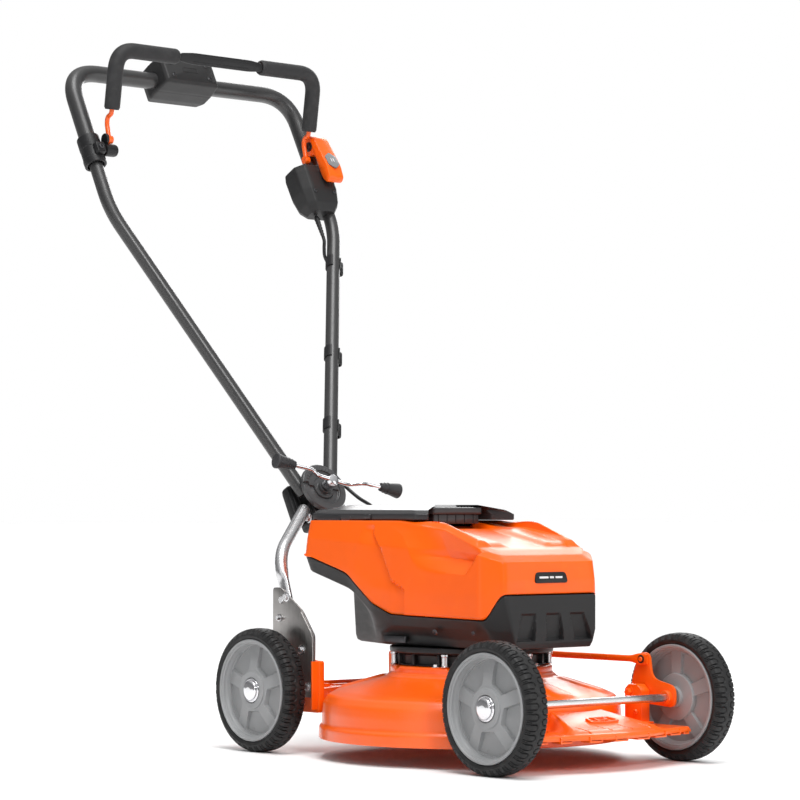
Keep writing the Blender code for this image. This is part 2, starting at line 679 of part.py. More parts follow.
# ---------------------------------------------------------------- handle support and pivot
def build_side_plates_and_legs():
    """The bright plates on the frame's cheeks, and the bent tubes that rise from them."""
    outline = rounded_outline(
        [
            (deck_y(0.450), 0.085), (deck_y(0.506), 0.085), (deck_y(0.508), 0.132), (deck_y(0.552), 0.136),
            (deck_y(0.552), 0.252), (deck_y(0.532), 0.252), (deck_y(0.480), 0.218), (deck_y(0.450), 0.180),
        ],
        [0.004, 0.004, 0.004, 0.004, 0.008, 0.010, 0.030, 0.020],
        steps=3,
    )
    for side, hand in ((-1, "right"), (1, "left")):
        plate(f"side_plate_{hand}", outline, 0.003, "bright_steel", at=(side * 0.1482, 0, 0))
        path = rounded_path(
            [
                (side * 0.0385, deck_y(0.6125), 0.3735), (side * 0.130, deck_y(0.563), 0.300),
                (side * 0.1362, deck_y(0.529), 0.222),
            ],
            0.035,
        )
        tube(f"leg_{hand}", path, 0.010, "bright_steel", sides=12)


def build_pivot():
    """The black bracket on the legs, the clamp disc on the handle, and the T-handle that locks them."""
    bracket = place_on_handle(
        box("pivot_bracket", (0.052, 0.040, 0.044), (0, 0, 0), "black_plastic", 0.002), 0, -0.0355, -0.0345
    )
    back = place_on_handle(
        box("bracket_back", (0.090, 0.070, 0.016), (0, 0, 0), "black_plastic", 0.002), 0, -0.010, -0.0475
    )
    boolean(bracket, back, "UNION")
    bore = cylinder_cutter("stud_bore", 0.0056, on_handle(0, 0, -0.043), on_handle(0, 0, 0.03))
    boolean(bracket, bore, "DIFFERENCE")
    disc_profile = [
        (0.0056, -0.0095), (0.0415, -0.0095), (0.0415, -0.0012), (0.0400, 0.0), (0.031, 0.0),
        (0.020, -0.0035), (0.014, -0.0035), (0.011, 0.0045), (0.0056, 0.0045),
    ]
    disc = lathe("clamp_disc", disc_profile, "disc_steel", 40)
    place_on_handle(disc, 0, 0, 0)
    hub_out = 0.023
    arm = rounded_path(
        [(-0.118, 0.027, 0.014), (-0.050, 0.0125, 0.014), (-0.028, 0.008, 0.0), (0.028, -0.008, 0.0),
         (0.050, -0.0125, 0.014), (0.118, -0.027, 0.014)],
        0.006, 2,
    )
    rod = cylinder_rod_mesh("t_handle", arm, 0.0036)
    hub = cylinder_cutter("t_hub", 0.0095, on_handle(0, 0, hub_out - 0.012), on_handle(0, 0, hub_out + 0.010))
    stud = cylinder_cutter("t_stud", 0.005, on_handle(0, 0, -0.0405), on_handle(0, 0, hub_out), sides=12)
    place_on_handle(rod, 0, 0, hub_out)
    boolean(rod, hub, "UNION")
    boolean(rod, stud, "UNION")
    for side, hand in ((-1, "right"), (1, "left")):
        direction = Vector((side, -side * 0.214, 0)).normalized()
        knob = [(0.0, 0.0), (0.0070, 0.0), (0.0128, 0.030), (0.0128, 0.034), (0.010, 0.038), (0.0, 0.038)]
        grip = lathe(f"t_grip_{hand}", knob, "black_plastic", 20)
        middle = Vector((side * 0.118, -side * 0.027, 0.014)) + direction * GAP
        turn = direction.to_track_quat("Z", "Y").to_matrix().to_4x4()
        grip.matrix_world = (
            Matrix.Translation(on_handle(0, 0, hub_out)) @ HANDLE_TURN @ Matrix.Translation(middle) @ turn
        )


def cylinder_rod_mesh(name, points, radius, sides=8):
    """A solid round rod as a mesh, so that a Boolean can work on it."""
    points = [Vector(point) for point in points]
    rings = []
    for i, point in enumerate(points):
        ahead = (points[min(i + 1, len(points) - 1)] - points[max(i - 1, 0)]).normalized()
        side = ahead.cross(Vector((0, 1, 0))).normalized()
        other = side.cross(ahead).normalized()
        turns = [2 * math.pi * k / sides for k in range(sides)]
        rings.append([point + radius * (math.cos(t) * side + math.sin(t) * other) for t in turns])
    obj = link_object(name, rings_mesh(name, rings, True, True))
    repaired = bmesh.new()
    repaired.from_mesh(obj.data)
    bmesh.ops.recalc_face_normals(repaired, faces=repaired.faces)
    repaired.to_mesh(obj.data)
    repaired.free()
    return finished(obj, "chrome")


# ---------------------------------------------------------------- handle
def tube_half_span(along):
    """How far a lower tube is from the middle, at a distance up the handle."""
    spread = (HANDLE_HALF_SPAN - 0.027) / BEND_ALONG
    return min(0.027 + spread * along, HANDLE_HALF_SPAN)


def build_handle_tubes():
    """Two lower tubes that spread in a V, and the upper U that slides over their tops."""
    for side, hand in ((-1, "right"), (1, "left")):
        path = rounded_path(
            [
                on_handle(side * 0.027, 0.0, TUBE_PLANE), on_handle(side * HANDLE_HALF_SPAN, BEND_ALONG, TUBE_PLANE),
                on_handle(side * HANDLE_HALF_SPAN, 0.680, TUBE_PLANE),
            ],
            0.060,
        )
        tube(f"lower_tube_{hand}", path, LOWER_TUBE_RADIUS, "tube_paint", 12)
    low = 0.628
    corners = [
        on_handle(-HANDLE_HALF_SPAN, low, TUBE_PLANE), on_handle(-HANDLE_HALF_SPAN, CROSS_TUBE_ALONG, TUBE_PLANE),
        on_handle(HANDLE_HALF_SPAN, CROSS_TUBE_ALONG, TUBE_PLANE), on_handle(HANDLE_HALF_SPAN, low, TUBE_PLANE),
    ]
    tube("upper_tube", rounded_path(corners, 0.055, 6), UPPER_TUBE_RADIUS, "tube_paint", 12, wall=0.0014)


def build_collar():
    """The clamp collar on the right-hand tube, with the boss that the bail hinges in."""
    profile = [
        (0.0123, -0.0420), (0.0165, -0.0420), (0.0188, -0.0300), (0.0188, 0.008), (0.0176, 0.0120),
        (UPPER_TUBE_RADIUS + GAP, 0.0120), (UPPER_TUBE_RADIUS + GAP, -0.0270), (0.0123, -0.0270),
    ]
    collar = lathe("collar_right", profile, "black_plastic", 28)
    centre = on_handle(-HANDLE_HALF_SPAN, BAIL_PIVOT_ALONG, TUBE_PLANE)
    upright = HANDLE_TURN @ Matrix.Rotation(math.radians(-90), 4, "X")
    collar.matrix_world = Matrix.Translation(centre) @ upright
    boss = cylinder_cutter(
        "collar_boss", 0.0105, on_handle(-HANDLE_HALF_SPAN + 0.0165, 0.638, -0.012),
        on_handle(-HANDLE_HALF_SPAN + 0.040, 0.638, -0.012),
    )
    boolean(collar, boss, "UNION")


def build_switch_box():
    """The switch box round the left-hand tube, its start lever and the lever's badge."""
    housing = place_on_handle(
        box("switch_box", (0.080, 0.090, 0.060), (0, 0, 0), "dark_plastic", 0.008), 0.2158, 0.594, -0.019
    )
    bore = cylinder_cutter(
        "switch_box_bore", 0.0147, on_handle(HANDLE_HALF_SPAN, 0.5, TUBE_PLANE),
        on_handle(HANDLE_HALF_SPAN, 0.7, TUBE_PLANE),
    )
    boolean(housing, bore, "DIFFERENCE")
    hub_along, hub_out, hub_across = 0.677, 0.005, 0.2182
    outline = rounded_outline(
        [
            (0.012, 0.002), (0.022, 0.007), (0.008, 0.024), (-0.062, 0.036), (-0.080, 0.030), (-0.082, 0.018),
            (-0.066, 0.0085), (-0.020, 0.0085), (-0.012, -0.008),
        ],
        0.003, 2,
    )
    lever = plate("start_lever", outline, 0.034, "orange_plastic", facing="Z")
    swap = Matrix(((0, 0, 1), (1, 0, 0), (0, 1, 0))).to_4x4()
    lever.matrix_world = (
        Matrix.Translation(on_handle(hub_across + 0.0165, hub_along, hub_out)) @ HANDLE_TURN @ swap
    )
    hub = cylinder_cutter(
        "lever_hub", 0.0165, on_handle(hub_across - 0.003, hub_along, hub_out),
        on_handle(hub_across + 0.003, hub_along, hub_out), sides=24,
    )
    boolean(lever, hub, "UNION")
    relief = lathe("strain_relief", [(0.0, 0.0), (0.0052, 0.0), (0.0036, 0.042), (0.0, 0.042)], "cable_rubber", 16)
    down = HANDLE_TURN @ Matrix.Rotation(math.radians(90), 4, "X")
    relief.matrix_world = Matrix.Translation(on_handle(0.206, 0.549 - GAP, -0.023)) @ down


def build_bail():
    """The operator's bail: an orange wire, a foam sleeve each side and a flat middle grip."""
    pivot = on_handle(0, BAIL_PIVOT_ALONG, BAIL_PIVOT_OUT)
    rise = Vector((0, 0.121, 0.090)).normalized()
    above = Vector((0, -rise.z, rise.y))

    def on_bail(across, up, proud=0.0):
        local = rise * up + above * proud
        return on_handle(across, BAIL_PIVOT_ALONG + local.y, BAIL_PIVOT_OUT + local.z)

    top, grip_low, grip_end = 0.150, 0.052, 0.088
    corners = [
        on_bail(-BAIL_HALF_SPAN, 0), on_bail(-BAIL_HALF_SPAN, top), on_bail(BAIL_HALF_SPAN, top),
        on_bail(BAIL_HALF_SPAN, 0),
    ]
    tube("bail_wire", rounded_path(corners, 0.030, 5), 0.004, "orange_paint", 8, origin=pivot)
    for side, hand in ((-1, "right"), (1, "left")):
        sleeve = [
            on_bail(side * BAIL_HALF_SPAN, grip_low), on_bail(side * BAIL_HALF_SPAN, top),
            on_bail(side * grip_end, top),
        ]
        tube(f"bail_grip_{hand}", rounded_path(sleeve, 0.030, 5), 0.0132, "grip_foam", 12, origin=pivot, wall=0.0086)
    link = box("bail_link", (2 * grip_end - 0.002, 0.020, 0.005), (0, 0, 0), "dark_plastic", 0.0015)
    turn = Matrix((ACROSS, HANDLE_TURN.to_3x3() @ rise, HANDLE_TURN.to_3x3() @ above)).transposed().to_4x4()
    link.matrix_world = Matrix.Translation(on_bail(0, top, 0.0072)) @ turn


def build_control_housing():
    """The keypad housing in the middle of the cross tube, and its power button."""
    pod = place_on_handle(
        box("control_housing", (0.118, 0.056, 0.072), (0, 0, 0), "dark_plastic", 0.007, 2), 0, 0.809, -0.024
    )
    bore = cylinder_cutter(
        "control_bore", 0.0147, on_handle(-0.1, CROSS_TUBE_ALONG, TUBE_PLANE),
        on_handle(0.1, CROSS_TUBE_ALONG, TUBE_PLANE),
    )
    boolean(pod, bore, "DIFFERENCE")
    pocket = cylinder_cutter("button_pocket", 0.0090, on_handle(0, 0.8325, -0.024), on_handle(0, 0.85, -0.024))
    boolean(pod, pocket, "DIFFERENCE")
    button = lathe(
        "power_button", [(0.0, 0.0), (0.0084, 0.0), (0.0084, 0.0035), (0.0070, 0.0045), (0.0, 0.0045)],
        "orange_plastic", 20,
    )
    upright = HANDLE_TURN @ Matrix.Rotation(math.radians(-90), 4, "X")
    button.matrix_world = Matrix.Translation(on_handle(0, 0.8346, -0.024)) @ upright


# ---------------------------------------------------------------- cable


def build_cables():
    """The control cable: from the switch box down behind the left tube, and on to the housing's back."""
    def behind_tube(along):
        return (tube_half_span(along) + 0.0085, along - 0.003, TUBE_PLANE - 0.0126)

    upper = [
        (0.206, 0.549 - 0.0433, -0.023), (0.2060, 0.498, -0.0243), (0.2060, 0.488, -0.0300), (0.2080, 0.476, -0.0370),
        (0.2130, 0.460, -0.0400), behind_tube(0.440), behind_tube(0.400), behind_tube(0.350), behind_tube(0.300),
    ]
    join = Vector(behind_tube(0.300))
    step = (Vector(behind_tube(0.290)) - join).normalized() * (2 * GAP)
    lower = [
        tuple(join + step), behind_tube(0.250), behind_tube(0.200), behind_tube(0.150), behind_tube(0.100),
        behind_tube(0.070), (0.0600, 0.046, -0.0350), (0.0700, 0.020, -0.0300), (0.0790, -0.010, -0.0170),
        (0.0820, -0.038, 0.0040), (0.0790, -0.070, 0.0210), (0.0710, -0.098, 0.0300),
        (0.0640, -0.1150, 0.0310),
    ]
    last = Vector((0.060, deck_y(0.5182), 0.318))
    points = smooth_path([on_handle(*knot) for knot in upper], 24)
    tube("cable_upper", points, CABLE_RADIUS, "cable_rubber", 8)
    knots = [on_handle(*knot) for knot in lower] + [last + Vector((0, 0.012, 0.002)), last]
    tube("cable_lower", smooth_path(knots, 44), CABLE_RADIUS, "cable_rubber", 8)


def main():
    """Empty the scene and build every sub-part."""
    for obj in list(bpy.data.objects):
        bpy.data.objects.remove(obj)
    build_deck()
    build_front_apron()
    build_rear_frame()
    build_pivot_blocks()
    build_swing_arms()
    build_link_rod()
    build_height_lever()
    build_wheels()
    build_drive()
    build_housing()
    build_lid()
    build_batteries()
    build_side_plates_and_legs()
    build_pivot()
    build_handle_tubes()
    build_collar()
    build_switch_box()
    build_bail()
    build_control_housing()
    build_cables()


main()
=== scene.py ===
import json
import math

import bpy
import numpy as np
from bpy.props import FloatProperty, FloatVectorProperty, IntProperty, PointerProperty
from mathutils import Matrix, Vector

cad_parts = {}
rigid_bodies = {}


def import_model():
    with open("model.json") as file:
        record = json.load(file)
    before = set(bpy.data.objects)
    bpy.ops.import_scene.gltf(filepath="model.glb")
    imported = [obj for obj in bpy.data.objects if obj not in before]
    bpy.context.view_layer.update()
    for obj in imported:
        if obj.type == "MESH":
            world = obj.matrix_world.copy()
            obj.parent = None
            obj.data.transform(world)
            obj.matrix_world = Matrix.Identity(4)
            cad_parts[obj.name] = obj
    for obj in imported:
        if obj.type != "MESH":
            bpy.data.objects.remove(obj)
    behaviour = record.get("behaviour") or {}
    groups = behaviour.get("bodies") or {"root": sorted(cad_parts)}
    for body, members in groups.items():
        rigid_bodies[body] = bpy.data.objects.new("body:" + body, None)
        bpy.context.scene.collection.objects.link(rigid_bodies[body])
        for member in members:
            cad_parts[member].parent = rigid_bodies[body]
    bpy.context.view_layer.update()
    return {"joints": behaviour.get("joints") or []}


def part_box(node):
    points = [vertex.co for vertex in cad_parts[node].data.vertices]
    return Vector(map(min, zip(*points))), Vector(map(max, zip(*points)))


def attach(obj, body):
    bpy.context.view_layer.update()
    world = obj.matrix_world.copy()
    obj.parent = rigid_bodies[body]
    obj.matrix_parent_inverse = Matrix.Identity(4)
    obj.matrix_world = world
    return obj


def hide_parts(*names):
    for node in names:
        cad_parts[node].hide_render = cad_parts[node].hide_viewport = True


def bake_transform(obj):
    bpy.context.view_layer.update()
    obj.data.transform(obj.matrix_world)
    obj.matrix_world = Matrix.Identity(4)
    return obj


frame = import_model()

bl_info = {
    "name": "Mulching mower",
    "version": (1, 0, 0),
    "blender": (4, 5, 0),
    "location": "3D View > Sidebar > Mower",
    "description": "Builds the visible pieces of a walk-behind mulching mower round its packed CAD frame",
    "category": "Add Mesh",
}


# ---------------------------------------------------------------- places taken from the frame
def joint_place(name):
    """Where a joint stands at rest, in metres."""
    return np.array([joint["pos_m"] for joint in frame["joints"] if joint["name"] == name][0], float)


def node_middle(node):
    """The middle of a CAD node's box."""
    low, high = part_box(node)
    return (np.array(low) + np.array(high)) / 2


AXLE_Y = {end: node_middle(f"{end}_axle")[1] for end in ("front", "rear")}
WHEEL_Z = node_middle("front_axle")[2]
WHEEL_X = node_middle("tyre_front_left")[0]
PIVOT = joint_place("handle_swing")
LEAN = math.radians(27.9)
ALONG = np.array([0, math.sin(LEAN), math.cos(LEAN)])
OUT = np.array([0, -math.cos(LEAN), math.sin(LEAN)])
DECK_Y = AXLE_Y["front"] + 0.256
TUBE_OUT = -0.0232
SPAN = 0.237
SIDES = {"right": -1, "left": 1}
FACING_X = np.array([[0, 0, 1, 0], [1, 0, 0, 0], [0, 1, 0, 0], [0, 0, 0, 1]], float)


def behind(y):
    """World Y of a place given in metres behind the front axle."""
    return AXLE_Y["front"] + y


def on_handle(across, along, out):
    """World points from places in the handle's frame: across it, up along it and out to the front."""
    sideways = PIVOT + np.multiply.outer(across, (1.0, 0, 0))
    return sideways + np.multiply.outer(along, ALONG) + np.multiply.outer(out, OUT)


def handle_points(places):
    """World points from rows of across, along and out."""
    places = np.asarray(places, float)
    return on_handle(places[..., 0], places[..., 1], places[..., 2])


# ---------------------------------------------------------------- surfaces
class Form:
    """Points, quads and end caps of one or more closed surfaces."""

    def __init__(self, points, quads, caps=()):
        self.points, self.quads, self.caps = np.asarray(points, float), quads, list(caps)

    def __add__(self, other):
        shift = len(self.points)
        return Form(
            np.vstack([self.points, other.points]), np.vstack([self.quads, other.quads + shift]),
            self.caps + [cap + shift for cap in other.caps],
        )

    def at(self, matrix):
        """The form moved by a matrix; one that mirrors also turns the faces over."""
        matrix = np.asarray(matrix, float)
        points = self.points @ matrix[:3, :3].T + matrix[:3, 3]
        if np.linalg.det(matrix[:3, :3]) > 0:
            return Form(points, self.quads, self.caps)
        return Form(points, self.quads, self.caps).turned_over()

    def turned_over(self):
        """The same points with every face's normal reversed."""
        return Form(self.points, self.quads[:, ::-1], [cap[::-1] for cap in self.caps])


def together(forms):
    """Several forms as one."""
    forms = list(forms)
    total = forms[0]
    for form in forms[1:]:
        total = total + form
    return total


def grid(points, around=True, looped=False, capped=(False, False)):
    """Quads between rows of points; rows may close, the last may join the first, and an end may be capped."""
    rows, columns = points.shape[:2]
    index = np.arange(rows * columns).reshape(rows, columns)
    ends = [index[0][::-1]] * capped[0] + [index[-1]] * capped[1]
    if around:
        index = np.concatenate([index, index[:, :1]], 1)
    if looped:
        index = np.concatenate([index, index[:1]], 0)
    quads = np.stack([index[:-1, :-1], index[:-1, 1:], index[1:, 1:], index[1:, :-1]], -1).reshape(-1, 4)
    return Form(points.reshape(-1, 3), quads, ends)


def unit(vectors):
    """Vectors scaled to length one."""
    vectors = np.asarray(vectors, float)
    return vectors / np.maximum(np.linalg.norm(vectors, axis=-1, keepdims=True), 1e-12)


def rise(value, low, high):
    """A smooth step: 0 below low, 1 above high, three t squared less two t cubed between."""
    t = np.clip((value - low) / (high - low), 0, 1)
    return t * t * (3 - 2 * t)


def curved(corners, inset, steps=4, closed=False):
    """A line whose corners are quadratic curves that start and end an inset away from each corner."""
    corners = np.asarray(corners, float)
    back, ahead = np.roll(corners, 1, 0) - corners, np.roll(corners, -1, 0) - corners
    room = np.minimum(np.linalg.norm(back, axis=1), np.linalg.norm(ahead, axis=1)) * 0.48
    reach = np.minimum(np.broadcast_to(inset, len(corners)), room)[:, None]
    t = np.linspace(0, 1, steps + 1)[None, :, None]
    start, end = corners + unit(back) * reach, corners + unit(ahead) * reach
    bends = (1 - t) ** 2 * start[:, None] + 2 * t * (1 - t) * corners[:, None] + t ** 2 * end[:, None]
    if closed:
        return bends.reshape(-1, corners.shape[1])
    return np.vstack([corners[:1], bends[1:-1].reshape(-1, corners.shape[1]), corners[-1:]])


def spaced(path, count):
    """The same line with evenly spaced points."""
    gone = np.concatenate([[0], np.cumsum(np.linalg.norm(np.diff(path, axis=0), axis=1))])
    stops = np.linspace(0, gone[-1], count)
    return np.stack([np.interp(stops, gone, path[:, k]) for k in range(path.shape[1])], 1)


def flowing(knots, count):
    """A Catmull-Rom line through the knots, evenly spaced."""
    knots = np.asarray(knots, float)
    padded = np.vstack([2 * knots[0] - knots[1], knots, 2 * knots[-1] - knots[-2]])
    t = np.linspace(0, 1, 16, endpoint=False)[None, :, None]
    a, b, c, d = (padded[k:len(padded) - 3 + k][:, None] for k in range(4))
    line = 0.5 * (
        2 * b + (c - a) * t + (2 * a - 5 * b + 4 * c - d) * t ** 2 + (3 * b - a - 3 * c + d) * t ** 3
    )
    return spaced(np.vstack([line.reshape(-1, 3), knots[-1:]]), count)


def revolve(profile, steps=64, looped=False, capped=(True, True)):
    """A profile of (radius, height) turned round the Z axis."""
    profile = np.asarray(profile, float)
    turn = np.linspace(0, 2 * np.pi, steps, endpoint=False)
    radius, height = profile[:, :1], profile[:, 1:]
    points = np.stack([radius * np.cos(turn), radius * np.sin(turn), height + 0 * turn], -1)
    return grid(points, looped=looped, capped=(False, False) if looped else capped)


def sweep(path, radius, sides=20, up=(0, 0, 1), capped=(True, True), squash=1.0):
    """Circles, or ellipses squashed along `up`, carried along a path and square to it."""
    path = np.asarray(path, float)
    ahead = unit(np.gradient(path, axis=0))
    side = unit(np.cross(up, ahead))
    lift = np.cross(ahead, side)
    turn = np.linspace(0, 2 * np.pi, sides, endpoint=False)[None, :, None]
    radius = np.broadcast_to(radius, len(path))[:, None, None]
    squash = np.broadcast_to(squash, len(path))[:, None, None]
    points = path[:, None] + radius * (np.cos(turn) * side[:, None] + squash * np.sin(turn) * lift[:, None])
    return grid(points, capped=capped)


def slab(outline, low, high, edge=0.0008):
    """A flat outline, anticlockwise from above, between two heights, with chamfered edges."""
    outline = np.asarray(outline, float)
    tangent = unit(np.roll(outline, -1, 0) - np.roll(outline, 1, 0))
    inward = np.stack([-tangent[:, 1], tangent[:, 0]], 1)
    insets, heights = (edge, edge * 0.3, 0, 0, edge * 0.3, edge), (
        low, low + edge * 0.3, low + edge, high - edge, high - edge * 0.3, high,
    )
    rings = [
        np.column_stack([outline + inward * inset, np.full(len(outline), z)]) for inset,
        z in zip(insets, heights)
    ]
    return grid(np.array(rings), capped=(True, True))


def block(size, inset=0.002, edge=0.001):
    """A box about the origin with rounded upright corners and chamfered edges."""
    half = np.array(size, float) / 2
    corners = half[:2] * np.array([(1, 1), (-1, 1), (-1, -1), (1, -1)])
    return slab(curved(corners, inset, 3, closed=True), -half[2], half[2], edge)


def filled(levels, counts, axis):
    """Straight-line points between control points along an axis, a given count in each gap."""
    stops = np.concatenate([k + np.arange(n) / n for k, n in enumerate(counts)] + [[len(counts)]])
    first = np.minimum(stops.astype(int), len(counts) - 1)
    share = (stops - first).reshape([-1 if k == axis else 1 for k in range(levels.ndim)])
    return np.take(levels, first, axis) * (1 - share) + np.take(levels, first + 1, axis) * share


def softened(points, times, axis, wrap):
    """Each point drawn towards its neighbours a few times, which rounds corners; open ends stay."""
    for _ in range(times):
        drawn = (np.roll(points, 1, axis) + 2 * points + np.roll(points, -1, axis)) / 4
        if not wrap:
            ends = [slice(None)] * points.ndim
            for place in (0, -1):
                ends[axis] = place
                drawn[tuple(ends)] = points[tuple(ends)]
        points = drawn
    return points


def net(levels, columns, rows, round_columns=2, round_rows=1):
    """A surface through rings of control points: straight between them, with rounded corners."""
    levels = np.asarray(levels, float)
    points = filled(np.concatenate([levels, levels[:, :1]], 1), columns, 1)[:, :-1]
    points = filled(points, rows, 0)
    return softened(softened(points, round_columns, 1, True), round_rows, 0, False)


def shift(x=0.0, y=0.0, z=0.0):
    """A matrix that moves by x, y and z."""
    matrix = np.eye(4)
    matrix[:3, 3] = x, y, z
    return matrix


def aimed(place, towards, up=(0, 0, 1)):
    """A matrix that stands a form's Z axis along a direction, at a place."""
    z = unit(towards)
    x = unit(np.cross(up, z)) if abs(np.dot(unit(up), z)) < 0.999 else np.array([1.0, 0, 0])
    matrix = np.eye(4)
    matrix[:3, 0], matrix[:3, 1], matrix[:3, 2], matrix[:3, 3] = x, np.cross(z, x), z, place
    return matrix


HANDLE = np.eye(4)
HANDLE[:3, 0], HANDLE[:3, 1], HANDLE[:3, 2], HANDLE[:3, 3] = (1, 0, 0), ALONG, OUT, PIVOT
MIRROR = np.diag([-1.0, 1, 1, 1])


def hex_bolt(size=0.005, height=0.004, washer=True):
    """A hexagonal bolt head standing on Z = 0, on a flat washer."""
    head = revolve([(size, 0.0), (size, height * 0.8), (size * 0.8, height)], 6)
    if not washer:
        return head
    ring = revolve(
        [(size * 1.3, 0.0), (size * 1.45, 0.0003), (size * 1.45, 0.0008), (size * 1.3, 0.0010)], 28,
    )
    return ring + head.at(shift(z=0.0010))


def socket_screw(radius=0.0035, height=0.0022):
    """A domed screw head standing on Z = 0, with a sunk centre."""
    return revolve(
        [(radius, 0), (radius, height * 0.4), (radius * 0.8, height * 0.85), (radius * 0.5, height),
         (radius * 0.42, height * 0.95), (radius * 0.38, height * 0.3)], 20,
    )


def piece(name, form, body, finish, stands_for=(), sharp=32):
    """Make a mesh object with a finish in its one material slot, on a body."""
    mesh = bpy.data.meshes.new(name)
    mesh.from_pydata(form.points.tolist(), [], form.quads.tolist() + [cap.tolist() for cap in form.caps])
    mesh.validate()
    mesh.shade_smooth()
    mesh.set_sharp_from_angle(angle=math.radians(sharp))
    mesh.materials.append(FINISHES[finish])
    obj = bpy.data.objects.new(name, mesh)
    bpy.context.scene.collection.objects.link(obj)
    if body:
        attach(obj, body)
    if stands_for:
        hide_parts(*stands_for)
    return obj


# ---------------------------------------------------------------- finishes
class Link:
    """A node's output that takes part in sums; each operator adds a Math node."""

    def __init__(self, recipe, socket):
        self.recipe, self.socket = recipe, socket

    def _math(self, operation, *values):
        return self.recipe.node("ShaderNodeMath", {"operation": operation}, dict(enumerate(values)))

    def __add__(self, other):
        return self._math("ADD", self, other)

    def __sub__(self, other):
        return self._math("SUBTRACT", self, other)

    def __rsub__(self, other):
        return self._math("SUBTRACT", other, self)

    def __mul__(self, other):
        return self._math("MULTIPLY", self, other)

    __radd__ = __add__
    __rmul__ = __mul__


class Recipe:
    """A material under construction, round one Principled shader."""

    def __init__(self, name, **constants):
        self.material = bpy.data.materials.new(name)
        self.material.use_nodes = True
        self.tree = self.material.node_tree
        self.tree.nodes.clear()
        self.shader = self.tree.nodes.new("ShaderNodeBsdfPrincipled")
        output = self.tree.nodes.new("ShaderNodeOutputMaterial")
        self.tree.links.new(self.shader.outputs[0], output.inputs["Surface"])
        self.place = self.node("ShaderNodeTexCoord", output="Object")
        self.give(**constants)

    def node(self, kind, settings=None, inputs=None, output=0):
        """Add a node: its settings first, then the values or links of its sockets."""
        made = self.tree.nodes.new(kind)
        for key, value in (settings or {}).items():
            setattr(made, key, value)
        for key, value in (inputs or {}).items():
            if isinstance(value, Link):
                self.tree.links.new(value.socket, made.inputs[key])
            else:
                made.inputs[key].default_value = value
        return Link(self, made.outputs[output])

    def give(self, **values):
        """Set or link the shader's own sockets; underscores stand for spaces."""
        for key, value in values.items():
            socket = self.shader.inputs[key.replace("_", " ")]
            if isinstance(value, Link):
                self.tree.links.new(value.socket, socket)
            else:
                socket.default_value = value

    def noise(self, scale, detail=2.0, stretch=(1, 1, 1), turn=(0, 0, 0)):
        """Cloudy values from 0 to 1; the scale counts waves in a metre, and stretch packs them by axis."""
        place = self.node("ShaderNodeMapping", {}, {"Vector": self.place, "Scale": stretch, "Rotation": turn})
        return self.node("ShaderNodeTexNoise", {}, {"Vector": place, "Scale": scale, "Detail": detail})

    def cells(self, scale, feature="F1"):
        """Distance to the nearest of many scattered points."""
        return self.node("ShaderNodeTexVoronoi", {"feature": feature}, {"Vector": self.place, "Scale": scale})

    def span(self, value, low, high, start=0.0, end=1.0):
        """A value between low and high, stretched to run from start to end."""
        return self.node("ShaderNodeMapRange", {}, {0: value, 1: low, 2: high, 3: start, 4: end})

    def blend(self, share, first, second):
        """Two colours mixed by a share."""
        return self.node("ShaderNodeMix", {"data_type": "RGBA"}, {0: share, 6: first, 7: second}, 2)

    def bump(self, height, strength, distance):
        """A normal from a height."""
        return self.node("ShaderNodeBump", {}, {"Height": height, "Strength": strength, "Distance": distance})


def shade(colour, share):
    """A colour made darker or lighter by a share."""
    return (*(min(channel * share, 1.0) for channel in colour[:3]), 1.0)


def paint_finish(name, colour, rough, peel=0.35, flakes=0.0):
    """Sprayed paint: slow changes of tone, orange peel, fine dust and a clear top coat."""
    recipe = Recipe(name, Coat_Roughness=0.26, Specular_IOR_Level=0.5)
    cloud = recipe.noise(9, 4)
    dust = recipe.span(recipe.noise(900, 2), 0.62, 0.80)
    tone = recipe.blend(recipe.span(cloud, 0.3, 0.7), shade(colour, 0.93), shade(colour, 1.05))
    tone = recipe.blend(dust * 0.10, tone, shade((0.75, 0.68, 0.60), 1.0))
    if flakes:
        tone = recipe.blend(recipe.span(recipe.cells(2600), 0.05, 0.0) * flakes, tone, (0.55, 0.55, 0.57, 1))
    scuffs = recipe.span(recipe.noise(38, 6, (1, 4, 1)), 0.60, 0.75)
    height = recipe.noise(420, 1) + recipe.noise(1900, 1) * 0.25
    recipe.give(
        Base_Color=tone, Roughness=recipe.span(cloud, 0.3, 0.7, rough * 0.9, rough * 1.1) + scuffs * 0.08,
        Coat_Weight=recipe.span(scuffs, 0, 1, 0.35, 0.15), Normal=recipe.bump(height, peel, 0.00012),
    )
    return recipe.material


def moulded_finish(name, colour, rough, grain=0.5, grain_scale=1500):
    """Moulded plastic: spark-eroded grain, faint flow lines, and lighter rubbed patches."""
    recipe = Recipe(name, Specular_IOR_Level=0.36)
    cloud = recipe.noise(7, 3)
    flow = recipe.noise(30, 3, (1, 1, 5))
    rubbed = recipe.span(recipe.noise(55, 7), 0.58, 0.74)
    tone = recipe.blend(recipe.span(cloud, 0.3, 0.7), shade(colour, 0.92), shade(colour, 1.07))
    tone = recipe.blend(rubbed * 0.12, tone, shade(colour, 1.5))
    pits = recipe.cells(grain_scale)
    height = pits + recipe.noise(grain_scale * 0.6, 2) * 0.6 + flow * 0.4
    recipe.give(
        Base_Color=tone, Roughness=recipe.span(flow, 0.3, 0.7, rough * 0.93, rough * 1.07) + rubbed * 0.05,
        Normal=recipe.bump(height, grain, 0.00010),
    )
    return recipe.material


